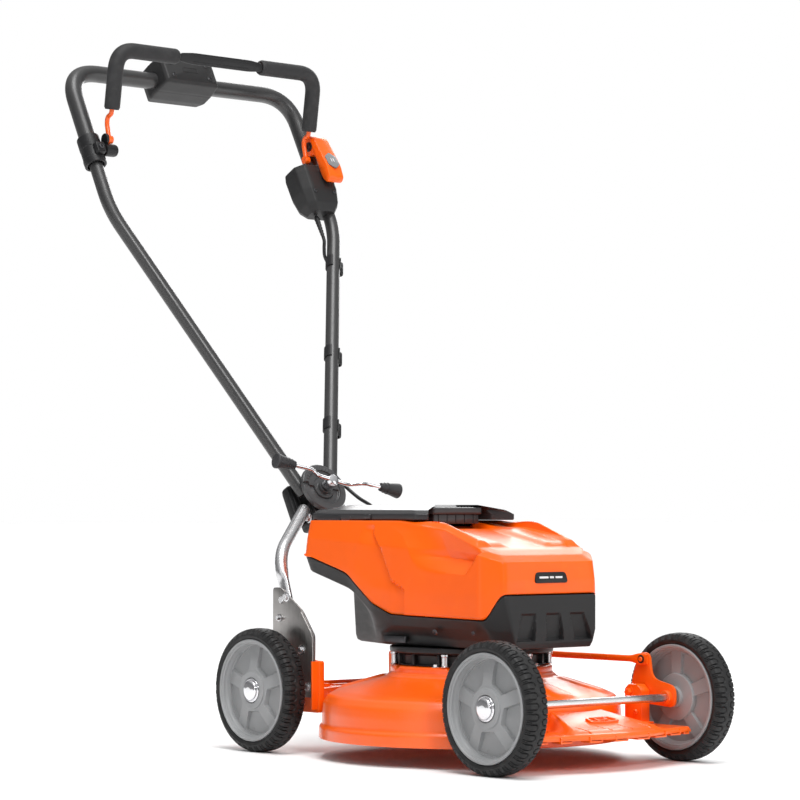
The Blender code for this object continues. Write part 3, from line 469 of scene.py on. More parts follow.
def metal_finish(name, colour, rough, stretch=(1, 1, 30), grain=0.25, mottle=0.0):
    """Bare or plated metal: fine lines along one axis, faint stains and tiny pits."""
    recipe = Recipe(name, Metallic=1.0)
    lines = recipe.noise(700, 3, tuple(1 / part for part in stretch))
    stains = recipe.span(recipe.noise(24, 5), 0.45, 0.75)
    spangle = recipe.cells(130)
    tone = recipe.blend(recipe.span(lines, 0.3, 0.7), shade(colour, 0.90), shade(colour, 1.08))
    tone = recipe.blend(stains * 0.10, tone, shade(colour, 0.75))
    if mottle:
        tone = recipe.blend(recipe.span(spangle, 0.1, 0.6) * mottle, tone, shade(colour, 1.2))
    recipe.give(
        Base_Color=tone, Roughness=recipe.span(lines, 0.3, 0.7, rough * 0.8, rough * 1.2) + stains * 0.08,
        Normal=recipe.bump(lines + recipe.noise(2200, 1) * 0.3, grain, 0.00006),
    )
    return recipe.material


def rubber_finish(name, colour, rough, pores=0.4, pore_scale=1100, dusty=0.12):
    """Rubber or foam: pores, soft mottling and a bloom of pale dust in scattered patches."""
    recipe = Recipe(name, Specular_IOR_Level=0.35)
    pits = recipe.cells(pore_scale)
    cloud = recipe.noise(20, 4)
    bloom = recipe.span(recipe.noise(80, 6), 0.50, 0.80)
    tone = recipe.blend(recipe.span(cloud, 0.3, 0.7), shade(colour, 0.85), shade(colour, 1.15))
    tone = recipe.blend(bloom * dusty, tone, (0.19, 0.18, 0.17, 1))
    recipe.give(
        Base_Color=tone, Roughness=recipe.span(cloud, 0.3, 0.7, rough * 0.92, rough * 1.05) + bloom * 0.05,
        Normal=recipe.bump(pits + recipe.noise(2500, 2) * 0.5, pores, 0.00014),
    )
    return recipe.material


FINISHES = {}


def make_finishes(colours):
    """Every finish of the mower, from the panel's colours."""
    orange, dark, grey, black = colours.orange, colours.dark_plastic, colours.rim, (0.010, 0.010, 0.011)
    FINISHES.update(
        orange_paint=paint_finish("orange_powder_coat", orange, 0.30),
        orange_plastic=moulded_finish("orange_cover_plastic", orange, 0.30, 0.08, 1900),
        tube_paint=paint_finish("anthracite_tube_paint", colours.tube, 0.38, 0.06, 0.02),
        disc_paint=paint_finish("grey_disc_coat", (0.045, 0.045, 0.047), 0.42, 0.4, 0.06),
        dark_plastic=moulded_finish("dark_housing_plastic", dark, 0.46, 0.45),
        lid_plastic=moulded_finish("smoked_lid_plastic", (0.032, 0.032, 0.034), 0.24, 0.06, 2200),
        black_plastic=moulded_finish("black_moulded_plastic", black, 0.42, 0.4),
        rim_plastic=moulded_finish("light_grey_rim_plastic", grey, 0.38, 0.22, 1300),
        badge_plastic=moulded_finish("grey_badge_plastic", (0.20, 0.205, 0.21), 0.35, 0.2),
        white_print=moulded_finish("pale_printed_mark", (0.72, 0.72, 0.73), 0.5, 0.1),
        tyre_rubber=rubber_finish("tyre_rubber", (0.010, 0.010, 0.0105), 0.55, 0.30, 900, 0.10),
        grip_foam=rubber_finish("grip_foam", (0.022, 0.022, 0.023), 0.62, 0.55, 1500, 0.08),
        cable_rubber=rubber_finish("cable_sheath", (0.016, 0.016, 0.017), 0.38, 0.15, 2600, 0.04),
        knob_rubber=rubber_finish("knob_rubber", (0.030, 0.030, 0.032), 0.50, 0.35, 1400, 0.08),
        bright_steel=metal_finish("bright_zinc_steel", (0.70, 0.70, 0.71), 0.26, (1, 1, 30), 0.10, 0.04),
        axle_steel=metal_finish("drawn_axle_steel", (0.70, 0.70, 0.70), 0.22, (40, 1, 1), 0.15),
        plate_steel=metal_finish("satin_side_plate_steel", (0.40, 0.385, 0.375), 0.36, (1, 2, 25), 0.2, 0.08),
        chrome=metal_finish("polished_chrome", (0.80, 0.80, 0.82), 0.07, (1, 1, 1), 0.04),
        blade_steel=metal_finish("ground_blade_steel", (0.32, 0.33, 0.35), 0.38, (1, 30, 1), 0.4, 0.1),
        motor_metal=metal_finish("cast_motor_can", (0.50, 0.50, 0.51), 0.48, (1, 1, 1), 0.6, 0.3),
        dark_screw=metal_finish("blackened_screw", (0.08, 0.08, 0.085), 0.40, (1, 1, 1), 0.3),
    )


# ---------------------------------------------------------------- what the panel offers
def colour(name, description, default):
    """A colour that the panel offers."""
    return FloatVectorProperty(
        name=name, description=description, subtype="COLOR", size=3, default=default, min=0, max=1,
    )


class MowerColours(bpy.types.PropertyGroup):
    """The mower's colours."""

    orange: colour("Orange", "Colour of the deck and the cover", (0.96, 0.118, 0.001))
    dark_plastic: colour("Dark plastic", "Colour of the housing and controls", (0.015, 0.015, 0.0155))
    tube: colour("Tubes", "Colour of the handle tubes", (0.023, 0.023, 0.0235))
    rim: colour("Rims", "Colour of the wheel rims", (0.30, 0.305, 0.31))
    floor: colour("Floor", "Colour of the studio floor", (0.90, 0.90, 0.90))


class MowerSizes(bpy.types.PropertyGroup):
    """Sizes that a user may change without touching the frame."""

    lugs: IntProperty(
        name="Tread lugs", description="Tread loops round one side of a tyre", default=40, min=12, max=60,
    )
    tread_depth: FloatProperty(
        name="Tread depth", description="Depth of the tread's grooves", default=0.0022, min=0.0, max=0.004,
        unit="LENGTH",
    )
    spokes: IntProperty(name="Rim windows", description="Sunk windows round a rim", default=5, min=3, max=8)
    grip_radius: FloatProperty(
        name="Grip radius", description="Radius of the bail's foam sleeves", default=0.0132, min=0.010,
        max=0.0135, unit="LENGTH",
    )
    cable: FloatProperty(
        name="Cable", description="Diameter of the control cable", default=0.006, min=0.005, max=0.0065,
        unit="LENGTH",
    )
    wall: FloatProperty(
        name="Cover wall", description="Thickness of the moulded covers", default=0.0026, min=0.001,
        max=0.003, unit="LENGTH",
    )


def sizes():
    """The sizes set in the panel."""
    return bpy.context.scene.mower_sizes


class PieceOperator:
    """What every operator of the mower shares."""

    bl_options = {"REGISTER", "UNDO"}

    def execute(self, context):
        """Build the pieces, and report success."""
        self.build()
        return {"FINISHED"}


# ---------------------------------------------------------------- camera and studio
CAMERA_PLACE = (-2.85666, -3.36230, 0.37307)
CAMERA_RISE, CAMERA_TURN, CAMERA_LENS = 2.25, -40.82, 125.68
LAMP_TARGET = np.array((0, -0.1, 0.45))
# name, turn in degrees, strength, angle of the disc in degrees
SUNS = (("sun_high", (14, -8, 0), 1.75, 34), ("sun_front", (57, 0, -16), 1.0, 12))
# name, place, width, length, power
BOXES = (
    ("strip_right", (-2.1, -0.6, 1.0), 1.0, 2.2, 5.0), ("strip_left", (1.5, -2.2, 1.0), 1.2, 2.2, 9),
    ("box_back", (1.9, 1.5, 1.7), 1.5, 1.5, 30), ("box_top", (-0.6, -0.6, 2.3), 1.2, 1.2, 6),
)


class MOWER_OT_stage(PieceOperator, bpy.types.Operator):
    """Set the camera, the pale floor and the soft lights"""

    bl_idname = "mower.stage"
    bl_label = "Stage"

    def build(self):
        scene = bpy.context.scene
        make_finishes(scene.mower_colours)
        self.camera(scene)
        self.floor(scene)
        self.sky(scene)
        self.lamps(scene)
        scene.view_settings.view_transform = "Standard"

    def camera(self, scene):
        """Stand the camera where the photograph was taken from."""
        camera = bpy.data.objects.new("camera", bpy.data.cameras.new("camera"))
        scene.collection.objects.link(camera)
        camera.location = CAMERA_PLACE
        camera.rotation_euler = (math.radians(90 + CAMERA_RISE), 0, math.radians(CAMERA_TURN))
        camera.data.lens, camera.data.sensor_width = CAMERA_LENS, 36.0
        scene.camera = camera

    def floor(self, scene):
        """A wide plain floor."""
        half = 60.0
        floor = Form(
            [(-half, -half, 0), (half, -half, 0), (half, half, 0), (-half, half, 0)],
            np.array([[0, 1, 2, 3]]),
        )
        recipe = Recipe("studio_floor", Roughness=0.75, Specular_IOR_Level=0.2)
        colour = tuple(scene.mower_colours.floor)
        recipe.give(Base_Color=recipe.blend(recipe.noise(0.8, 2), shade(colour, 0.995), shade(colour, 1.0)))
        FINISHES["studio_floor"] = recipe.material
        piece("floor", floor, None, "studio_floor")

    def sky(self, scene):
        """A grey studio sky that lights the mower, and plain white where the camera looks past it."""
        world = bpy.data.worlds.new("studio")
        scene.world = world
        world.use_nodes = True
        tree = world.node_tree
        tree.nodes.clear()
        place = tree.nodes.new("ShaderNodeTexCoord")
        height = tree.nodes.new("ShaderNodeSeparateXYZ")
        sky = tree.nodes.new("ShaderNodeValToRGB")
        sky.color_ramp.elements[0].position, sky.color_ramp.elements[0].color = 0.0, (0.30, 0.30, 0.30, 1)
        sky.color_ramp.elements[1].position, sky.color_ramp.elements[1].color = 0.9, (0.75, 0.75, 0.75, 1)
        low = sky.color_ramp.elements.new(0.30)
        low.color = (0.16, 0.16, 0.165, 1)
        lit, seen = tree.nodes.new("ShaderNodeBackground"), tree.nodes.new("ShaderNodeBackground")
        seen.inputs["Color"].default_value = (1, 1, 1, 1)
        path, either = tree.nodes.new("ShaderNodeLightPath"), tree.nodes.new("ShaderNodeMixShader")
        output = tree.nodes.new("ShaderNodeOutputWorld")
        for start, end in (
            (place.outputs["Generated"], height.inputs[0]), (height.outputs["Z"], sky.inputs[0]),
            (sky.outputs[0], lit.inputs["Color"]), (path.outputs["Is Camera Ray"], either.inputs[0]),
            (lit.outputs[0], either.inputs[1]), (seen.outputs[0], either.inputs[2]),
            (either.outputs[0], output.inputs[0]),
        ):
            tree.links.new(start, end)

    def lamps(self, scene):
        """Soft suns for the floor and the fronts, and wide boxes for the long highlights."""
        for name, turn, strength, angle in SUNS:
            light = bpy.data.lights.new(name, "SUN")
            light.energy, light.angle = strength, math.radians(angle)
            lamp = bpy.data.objects.new(name, light)
            lamp.rotation_euler = [math.radians(part) for part in turn]
            scene.collection.objects.link(lamp)
        for name, place, width, length, power in BOXES:
            light = bpy.data.lights.new(name, "AREA")
            light.shape, light.size, light.size_y, light.energy = "RECTANGLE", width, length, power
            lamp = bpy.data.objects.new(name, light)
            lamp.matrix_world = Matrix(aimed(place, np.array(place) - LAMP_TARGET).tolist())
            scene.collection.objects.link(lamp)


# ---------------------------------------------------------------- cable
def behind_tube(along):
    """The cable's line behind the left tube."""
    return (0.027 + 0.4 * along + 0.0085, along - 0.003, TUBE_OUT - 0.0126)


class MOWER_OT_cable(PieceOperator, bpy.types.Operator):
    """Run the control cable from the switch box to the back of the housing"""

    bl_idname = "mower.cable"
    bl_label = "Control cable"

    def build(self):
        upper = handle_points([
            (0.206, 0.5057, -0.023), (0.2060, 0.498, -0.0243), (0.2060, 0.488, -0.0300),
            (0.2080, 0.476, -0.0370),
            (0.2130, 0.460, -0.0400), behind_tube(0.440), behind_tube(0.400), behind_tube(0.350),
            behind_tube(0.300),
        ])
        lower = handle_points([
            behind_tube(0.2994), behind_tube(0.250), behind_tube(0.200), behind_tube(0.150),
            behind_tube(0.100),
            behind_tube(0.070), (0.0600, 0.046, -0.0350), (0.0700, 0.020, -0.0300), (0.0790, -0.010, -0.0170),
            (0.0820, -0.038, 0.0040), (0.0790, -0.070, 0.0210), (0.0710, -0.098, 0.0300),
            (0.0640, -0.1150, 0.0310),
        ])
        lower = np.vstack([lower, [(0.060, behind(0.5302), 0.320), (0.060, behind(0.5182), 0.318)]])
        radius = sizes().cable / 2
        coupler_path = handle_points(
            [behind_tube(0.318), behind_tube(0.312), behind_tube(0.288), behind_tube(0.282)]
        )
        coupler = sweep(
            spaced(coupler_path, 13), radius + 0.0012 * np.sin(np.linspace(0.15, np.pi - 0.15, 13)) ** 0.3,
            20, up=OUT,
        )
        rings = [
            sweep(
                spaced(handle_points([behind_tube(a), behind_tube(a - 0.0016)]), 3), radius + 0.0016, 20,
                up=OUT,
            )
            for a in (0.308, 0.303, 0.298, 0.293)
        ]
        joiner = piece(
            "cable_coupler", together([coupler] + rings), "handle", "black_plastic",
        )
        gland_path = np.array(
            [
                (0.060, behind(0.5160), 0.3176), (0.060, behind(0.5190), 0.3181),
                (0.060, behind(0.5280), 0.3196), (0.060, behind(0.5310), 0.3201),
            ]
        )
        gland_line = spaced(gland_path, 16)
        gland = sweep(
            gland_line, np.interp(np.linspace(0, 1, 16), [0, 0.3, 0.32, 1], [0.0078, 0.0078, 0.0058, 0.0040]),
            20,
        )
        gland = piece("cable_gland", gland, "deck", "black_plastic")
        for name, knots, node, ends, start, finish, far in (
            (
                "control_cable_upper", upper, "cable_upper", ("upper_handle", "handle"), 0.498, 0.36,
                ("connector", joiner),
            ),
            (
                "control_cable_lower", lower, "cable_lower", ("handle", "deck"), 0.060, -0.090,
                ("object", gland),
            ),
        ):
            path = flowing(knots, 40)
            fine = flowing(knots, 160)
            cable = piece(name, sweep(fine, radius, 16, up=(1, 0.2, 0.1)), None, "cable_rubber", (node,))
            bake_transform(cable)
        clips = []
        for along in (0.452, 0.268, 0.128):
            middle = np.array([0.027 + 0.4 * along, along, TUBE_OUT])
            direction = unit(handle_points([middle + (0.04, 0.1, 0)])[0] - handle_points([middle])[0])
            matrix = aimed(handle_points([middle])[0], direction, OUT)
            turn = np.linspace(np.radians(-230), np.radians(55), 40)
            band = np.array([(0.0118, -0.011), (0.0136, -0.011), (0.0136, 0.011), (0.0118, 0.011)])
            shell = np.stack(
                [
                    band[:, 0] * np.cos(turn[:, None]), band[:, 0] * np.sin(turn[:, None]),
                    band[:, 1] + 0 * turn[:, None],
                ],
                -1,
            )
            saddle = revolve(
                [
                    (0.0036, -0.012), (0.0058, -0.012), (0.0062, -0.010), (0.0062, 0.010), (0.0058, 0.012),
                    (0.0036, 0.012),
                ],
                28, looped=True,
            )
            clips.append(grid(shell, capped=(True, True)).at(matrix))
            clips.append(saddle.at(matrix @ shift(-0.0175, -0.006)))
            clips.append(block((0.006, 0.006, 0.022)).at(matrix @ shift(-0.0135, -0.003)))
        piece("cable_clips", together(clips), "handle", "black_plastic")


# ---------------------------------------------------------------- wheels
def tyre_form():
    """A rounded section turned round its axis, with U-shaped grooves sunk from both shoulders."""
    half, outer, inner = 0.0205, 0.0950, 0.0790
    section = curved(
        [
            (inner, -half + 0.003), (inner + 0.004, -half), (outer - 0.010, -half),
            (outer - 0.0015, -half + 0.005), (outer, -half + 0.013), (outer, half - 0.013),
            (outer - 0.0015, half - 0.005), (outer - 0.010, half), (inner + 0.004, half),
            (inner, half - 0.003),
        ], 0.006, 8,
    )
    gone = np.concatenate([[0], np.cumsum(np.linalg.norm(np.diff(section, axis=0), axis=1))])
    section = spaced(section, int(gone[-1] / 0.00085))
    columns = sizes().lugs * 18
    turn = np.linspace(0, 2 * np.pi, columns, endpoint=False)
    radius, width = section[:, :1], section[:, 1:]
    pitch = 2 * np.pi / sizes().lugs
    groove = np.zeros((len(section), columns))
    for hand, offset in ((1, 0.0), (-1, 0.5)):
        around = ((turn / pitch + offset) % 1 - 0.5) * pitch * outer
        inward = hand * width
        reach = np.where(inward > 0.0085, np.abs(around), np.hypot(inward - 0.0085, around))
        loop = 1 - rise(np.abs(reach - 0.0046), 0.00045, 0.0011)
        between = np.abs(np.abs(around) - pitch * outer / 2)
        slit = (1 - rise(between, 0.0003, 0.0008)) * rise(inward, 0.0135, 0.0145)
        groove = np.maximum(groove, np.maximum(loop, slit * 0.8) * rise(inward, 0.0, 0.001))
    shoulder = rise(radius, outer - 0.0105, outer - 0.0060)
    seam = 0.0003 * (1 - rise(np.abs(width), 0.0002, 0.0006)) - 0.0004 * (
        1 - rise(np.abs(np.abs(width) - 0.0172), 0.0002, 0.0007)
    ) * shoulder
    radius = radius - groove * shoulder * sizes().tread_depth + seam * shoulder
    ring = 0.0005 * np.cos((section[:, :1] - 0.086) * 2 * np.pi / 0.006) * rise(np.abs(width), 0.0195, 0.0204)
    points = np.stack(
        [radius * np.cos(turn), radius * np.sin(turn), (width - np.sign(width) * np.abs(ring)) + 0 * turn],
        -1,
    )
    return grid(points, looped=True)


def rim_form():
    """A closed section turned round, its disc sunk in windows by the distance from straight-sided wedges."""
    lip = [
        (0.0787, 0.0160), (0.0782, 0.0188), (0.0768, 0.0196), (0.0748, 0.0196), (0.0742, 0.0188),
        (0.0740, 0.0172),
        (0.0728, 0.0164), (0.0716, 0.0160), (0.0710, 0.0120), (0.0702, 0.0110), (0.0694, 0.0060),
    ]
    front = [(radius, 0.0055 + (0.0690 - radius) * 0.23) for radius in np.linspace(0.0686, 0.0300, 58)]
    hub = [
        (0.0292, 0.0150), (0.0288, 0.0168), (0.0278, 0.0174), (0.0205, 0.0174), (0.0196, 0.0168),
        (0.0192, 0.0142), (0.0100, 0.0142),
    ]
    bore = [(0.0095, 0.0138), (0.0095, -0.0200), (0.0100, -0.0204)]
    back_hub = [
        (0.0150, -0.0204), (0.0158, -0.0198), (0.0162, -0.0150), (0.0340, -0.0135), (0.0348, -0.0128),
        (0.0352, -0.0110),
    ]
    back = [(radius, -0.0105 + (radius - 0.0352) * 0.05) for radius in np.linspace(0.0358, 0.0680, 30)]
    back_lip = [
        (0.0694, -0.0100), (0.0710, -0.0150), (0.0730, -0.0160), (0.0736, -0.0190), (0.0750, -0.0198),
        (0.0772, -0.0198), (0.0784, -0.0188), (0.0787, -0.0160),
    ]
    section = np.array(lip + front + hub + bore + back_hub + back + back_lip)[::-1]
    columns = 320
    turn = np.linspace(0, 2 * np.pi, columns, endpoint=False)
    radius, width = section[:, :1], section[:, 1:]
    pitch = 2 * np.pi / sizes().spokes
    near = ((turn - 0.28) / pitch % 1 - 0.5) * pitch
    x, y = radius * np.cos(near), np.abs(radius * np.sin(near))
    side = ((y - 0.0113) * 28.1 - (x - 0.0310) * 18.1) / 33.4
    outside = np.maximum(np.maximum(side, 0.0325 - x), radius - 0.0672)
    window = 1 - rise(outside, -0.0009, 0.0002)
    is_front = (width > 0) & (radius < 0.0690) & (radius > 0.0299)
    is_back = (width < 0) & (radius < 0.0685) & (radius > 0.0355)
    dots = 1 - rise(
        np.hypot(radius - 0.0242, radius * (((turn / (2 * np.pi) * 6 + 0.2) % 1 - 0.5) * 2 * np.pi / 6)),
        0.0007, 0.0012,
    )
    pins = 1 - rise(np.hypot(radius - 0.0610, radius * (near - 0.20)), 0.0008, 0.0014)
    depth = is_front * (window * (0.0038 + 0.10 * (0.067 - radius)) + pins * window * 0.0006)
    depth = depth + ((width > 0.015) & (radius < 0.029) & (radius > 0.0192)) * dots * 0.0008
    depth = depth - is_back * window * 0.0042
    points = np.stack([radius * np.cos(turn), radius * np.sin(turn), width - depth + 0 * turn], -1)
    return grid(points, looped=True)


class MOWER_OT_wheels(PieceOperator, bpy.types.Operator):
    """Build the four tyres, rims and hub caps"""

    bl_idname = "mower.wheels"
    bl_label = "Wheels"

    def build(self):
        tyre, rim = tyre_form(), rim_form()
        cap = revolve(curved([
            (0.0178, 0.0152), (0.0186, 0.0160), (0.0184, 0.0176), (0.0170, 0.0182), (0.0164, 0.0174),
            (0.0158, 0.0176),
            (0.0154, 0.0208), (0.0120, 0.0226), (0.0060, 0.0236), (0.0006, 0.0238),
        ], 0.0012, 3), 72)
        bearing = revolve(
            [(0.0094, -0.0206), (0.0094, -0.0212), (0.0066, -0.0212), (0.0064, -0.0200)], 40, looped=True,
        )
        spring = together(
            revolve(
                [(0.0068, z), (0.0082, z + 0.0009), (0.0068, z + 0.0018)], 32, looped=True,
            ) for z in (-0.0232, -0.0252)
        )
        for end in ("front", "rear"):
            for hand, side in SIDES.items():
                body, tag = f"wheel_{end}_{hand}", f"{end}_{hand}"
                matrix = shift(side * WHEEL_X, AXLE_Y[end], WHEEL_Z) @ FACING_X
                if side < 0:
                    matrix = shift(side * WHEEL_X, AXLE_Y[end], WHEEL_Z) @ MIRROR @ FACING_X
                piece(f"treaded_tyre_{tag}", tyre.at(matrix), body, "tyre_rubber", (f"tyre_{tag}",), 40)
                piece(f"dished_rim_{tag}", rim.at(matrix), body, "rim_plastic", (f"rim_{tag}",), 30)
                piece(f"domed_cap_{tag}", cap.at(matrix), body, "chrome", (f"hub_cap_{tag}",))
                piece(
                    f"hub_seal_{tag}", (bearing + spring).at(matrix), body, "knob_rubber",
                )


# ---------------------------------------------------------------- running gear
class MOWER_OT_running_gear(PieceOperator, bpy.types.Operator):
    """Build the axles, the bell-crank arms, the link rod and the height lever"""

    bl_idname = "mower.running_gear"
    bl_label = "Running gear"

    def build(self):
        for end in ("front", "rear"):
            axle_y, body = AXLE_Y[end], f"{end}_swing"
            reach = 0.2045
            rod = [
                (0.0052, -reach), (0.0060, -reach + 0.001), (0.0060, -0.158), (0.0054, -0.1572),
                (0.0054, -0.1560), (0.0060, -0.1552),
            ]
            rod = rod + [(radius, -height) for radius, height in rod[::-1]]
            piece(
                f"{end}_axle_rod", revolve(rod, 40).at(shift(y=axle_y, z=WHEEL_Z) @ FACING_X), body,
                "axle_steel", (f"{end}_axle",),
            )
            for hand, side in SIDES.items():
                pivot, horn = axle_y + 0.060, axle_y + 0.048
                outline = curved(
                    [
                        (axle_y - 0.016, 0.080), (pivot + 0.014, 0.086), (pivot + 0.014, 0.115),
                        (horn + 0.011, 0.160), (horn - 0.011, 0.160), (horn - 0.017, 0.122),
                        (axle_y - 0.016, 0.112),
                    ], 0.013, 7, closed=True,
                )
                arm = slab(outline, -0.0020, 0.0020, 0.0005).at(shift(side * 0.161) @ FACING_X)
                boss = revolve(
                    [(0.0105, 0.0), (0.0105, 0.0050), (0.0095, 0.0060), (0.0064, 0.0060)], 36,
                    capped=(True, True),
                )
                inward = [
                    boss.at(aimed((side * 0.1592, axle_y, WHEEL_Z), (-side, 0, 0))),
                    hex_bolt(0.0058, 0.0042).at(aimed((side * 0.1630, pivot, 0.101), (side, 0, 0))),
                    revolve([(0.0056, 0.0), (0.0056, 0.0225)], 24).at(
                        aimed((side * 0.1610, pivot, 0.101), (-side, 0, 0))
                    ),
                ]
                if side > 0:
                    inward.append(
                        revolve(
                            [(0.0036, -0.0005), (0.0036, 0.0085), (0.0030, 0.0092)], 24,
                        ).at(aimed((0.1595, horn, 0.150), (-1, 0, 0)))
                    )
                piece(
                    f"bell_crank_{end}_{hand}", together([arm] + inward), body, "orange_paint",
                    (f"swing_arm_{end}_{hand}",),
                )
        front, rear = AXLE_Y["front"] + 0.048, AXLE_Y["rear"] + 0.048
        line = np.linspace(front - 0.0105, rear + 0.0105, 90)
        near_end = np.minimum(line - line[0], line[-1] - line)
        width = np.interp(near_end, [0, 0.0006, 0.019, 0.034], [0.0076, 0.0084, 0.0084, 0.0050])
        squash = np.interp(near_end, [0, 0.0006, 0.019, 0.034], [0.29, 0.31, 0.31, 0.62])
        path = np.column_stack([np.full(90, 0.1560), line, np.full(90, 0.150)])
        rod = sweep(path, width, 28, up=(1, 0, 0), squash=squash)
        washers = together(
            revolve(
                [(0.0062, 0.0), (0.0062, 0.0008), (0.0040, 0.0010)], 28,
            ).at(aimed((0.1533, y, 0.150), (-1, 0, 0))) for y in (front, rear)
        )
        piece("height_link", rod, "link", "orange_paint", ("link_rod",))
        piece("link_pins", washers, "link", "dark_screw")
        start = np.array([0.161, rear, 0.1593])
        bent = curved([start, start + (0, 0, 0.030), start + (0, 0.028, 0.105)], 0.02, 8)
        lever = sweep(bent, 0.0050, 24, up=(1, 0, 0))
        axis = unit(bent[-1] - bent[-2])
        grip = revolve(
            [
                (0.0052, -0.046), (0.0078, -0.045), (0.0082, -0.040), (0.0074, -0.020), (0.0088, -0.006),
                (0.0084, -0.0015), (0.0050, 0.0),
            ],
            32,
        )
        ribs = together(
            revolve(
                [(0.0074, z), (0.0090, z + 0.0010), (0.0090, z + 0.0022), (0.0074, z + 0.0032)], 32,
                looped=True,
            )
            for z in (-0.036, -0.030, -0.024, -0.018)
        )
        collar = revolve([(0.0050, 0.0), (0.0075, 0.0004), (0.0075, 0.010), (0.0052, 0.0115)], 32)
        piece(
            "height_lever_rod", lever + collar.at(shift(*start)), "rear_swing", "tube_paint",
            ("height_lever",),
        )
        piece(
            "height_lever_grip", (grip + ribs).at(aimed(bent[-1] + axis * 0.0004, axis)), "rear_swing",
            "knob_rubber",
        )


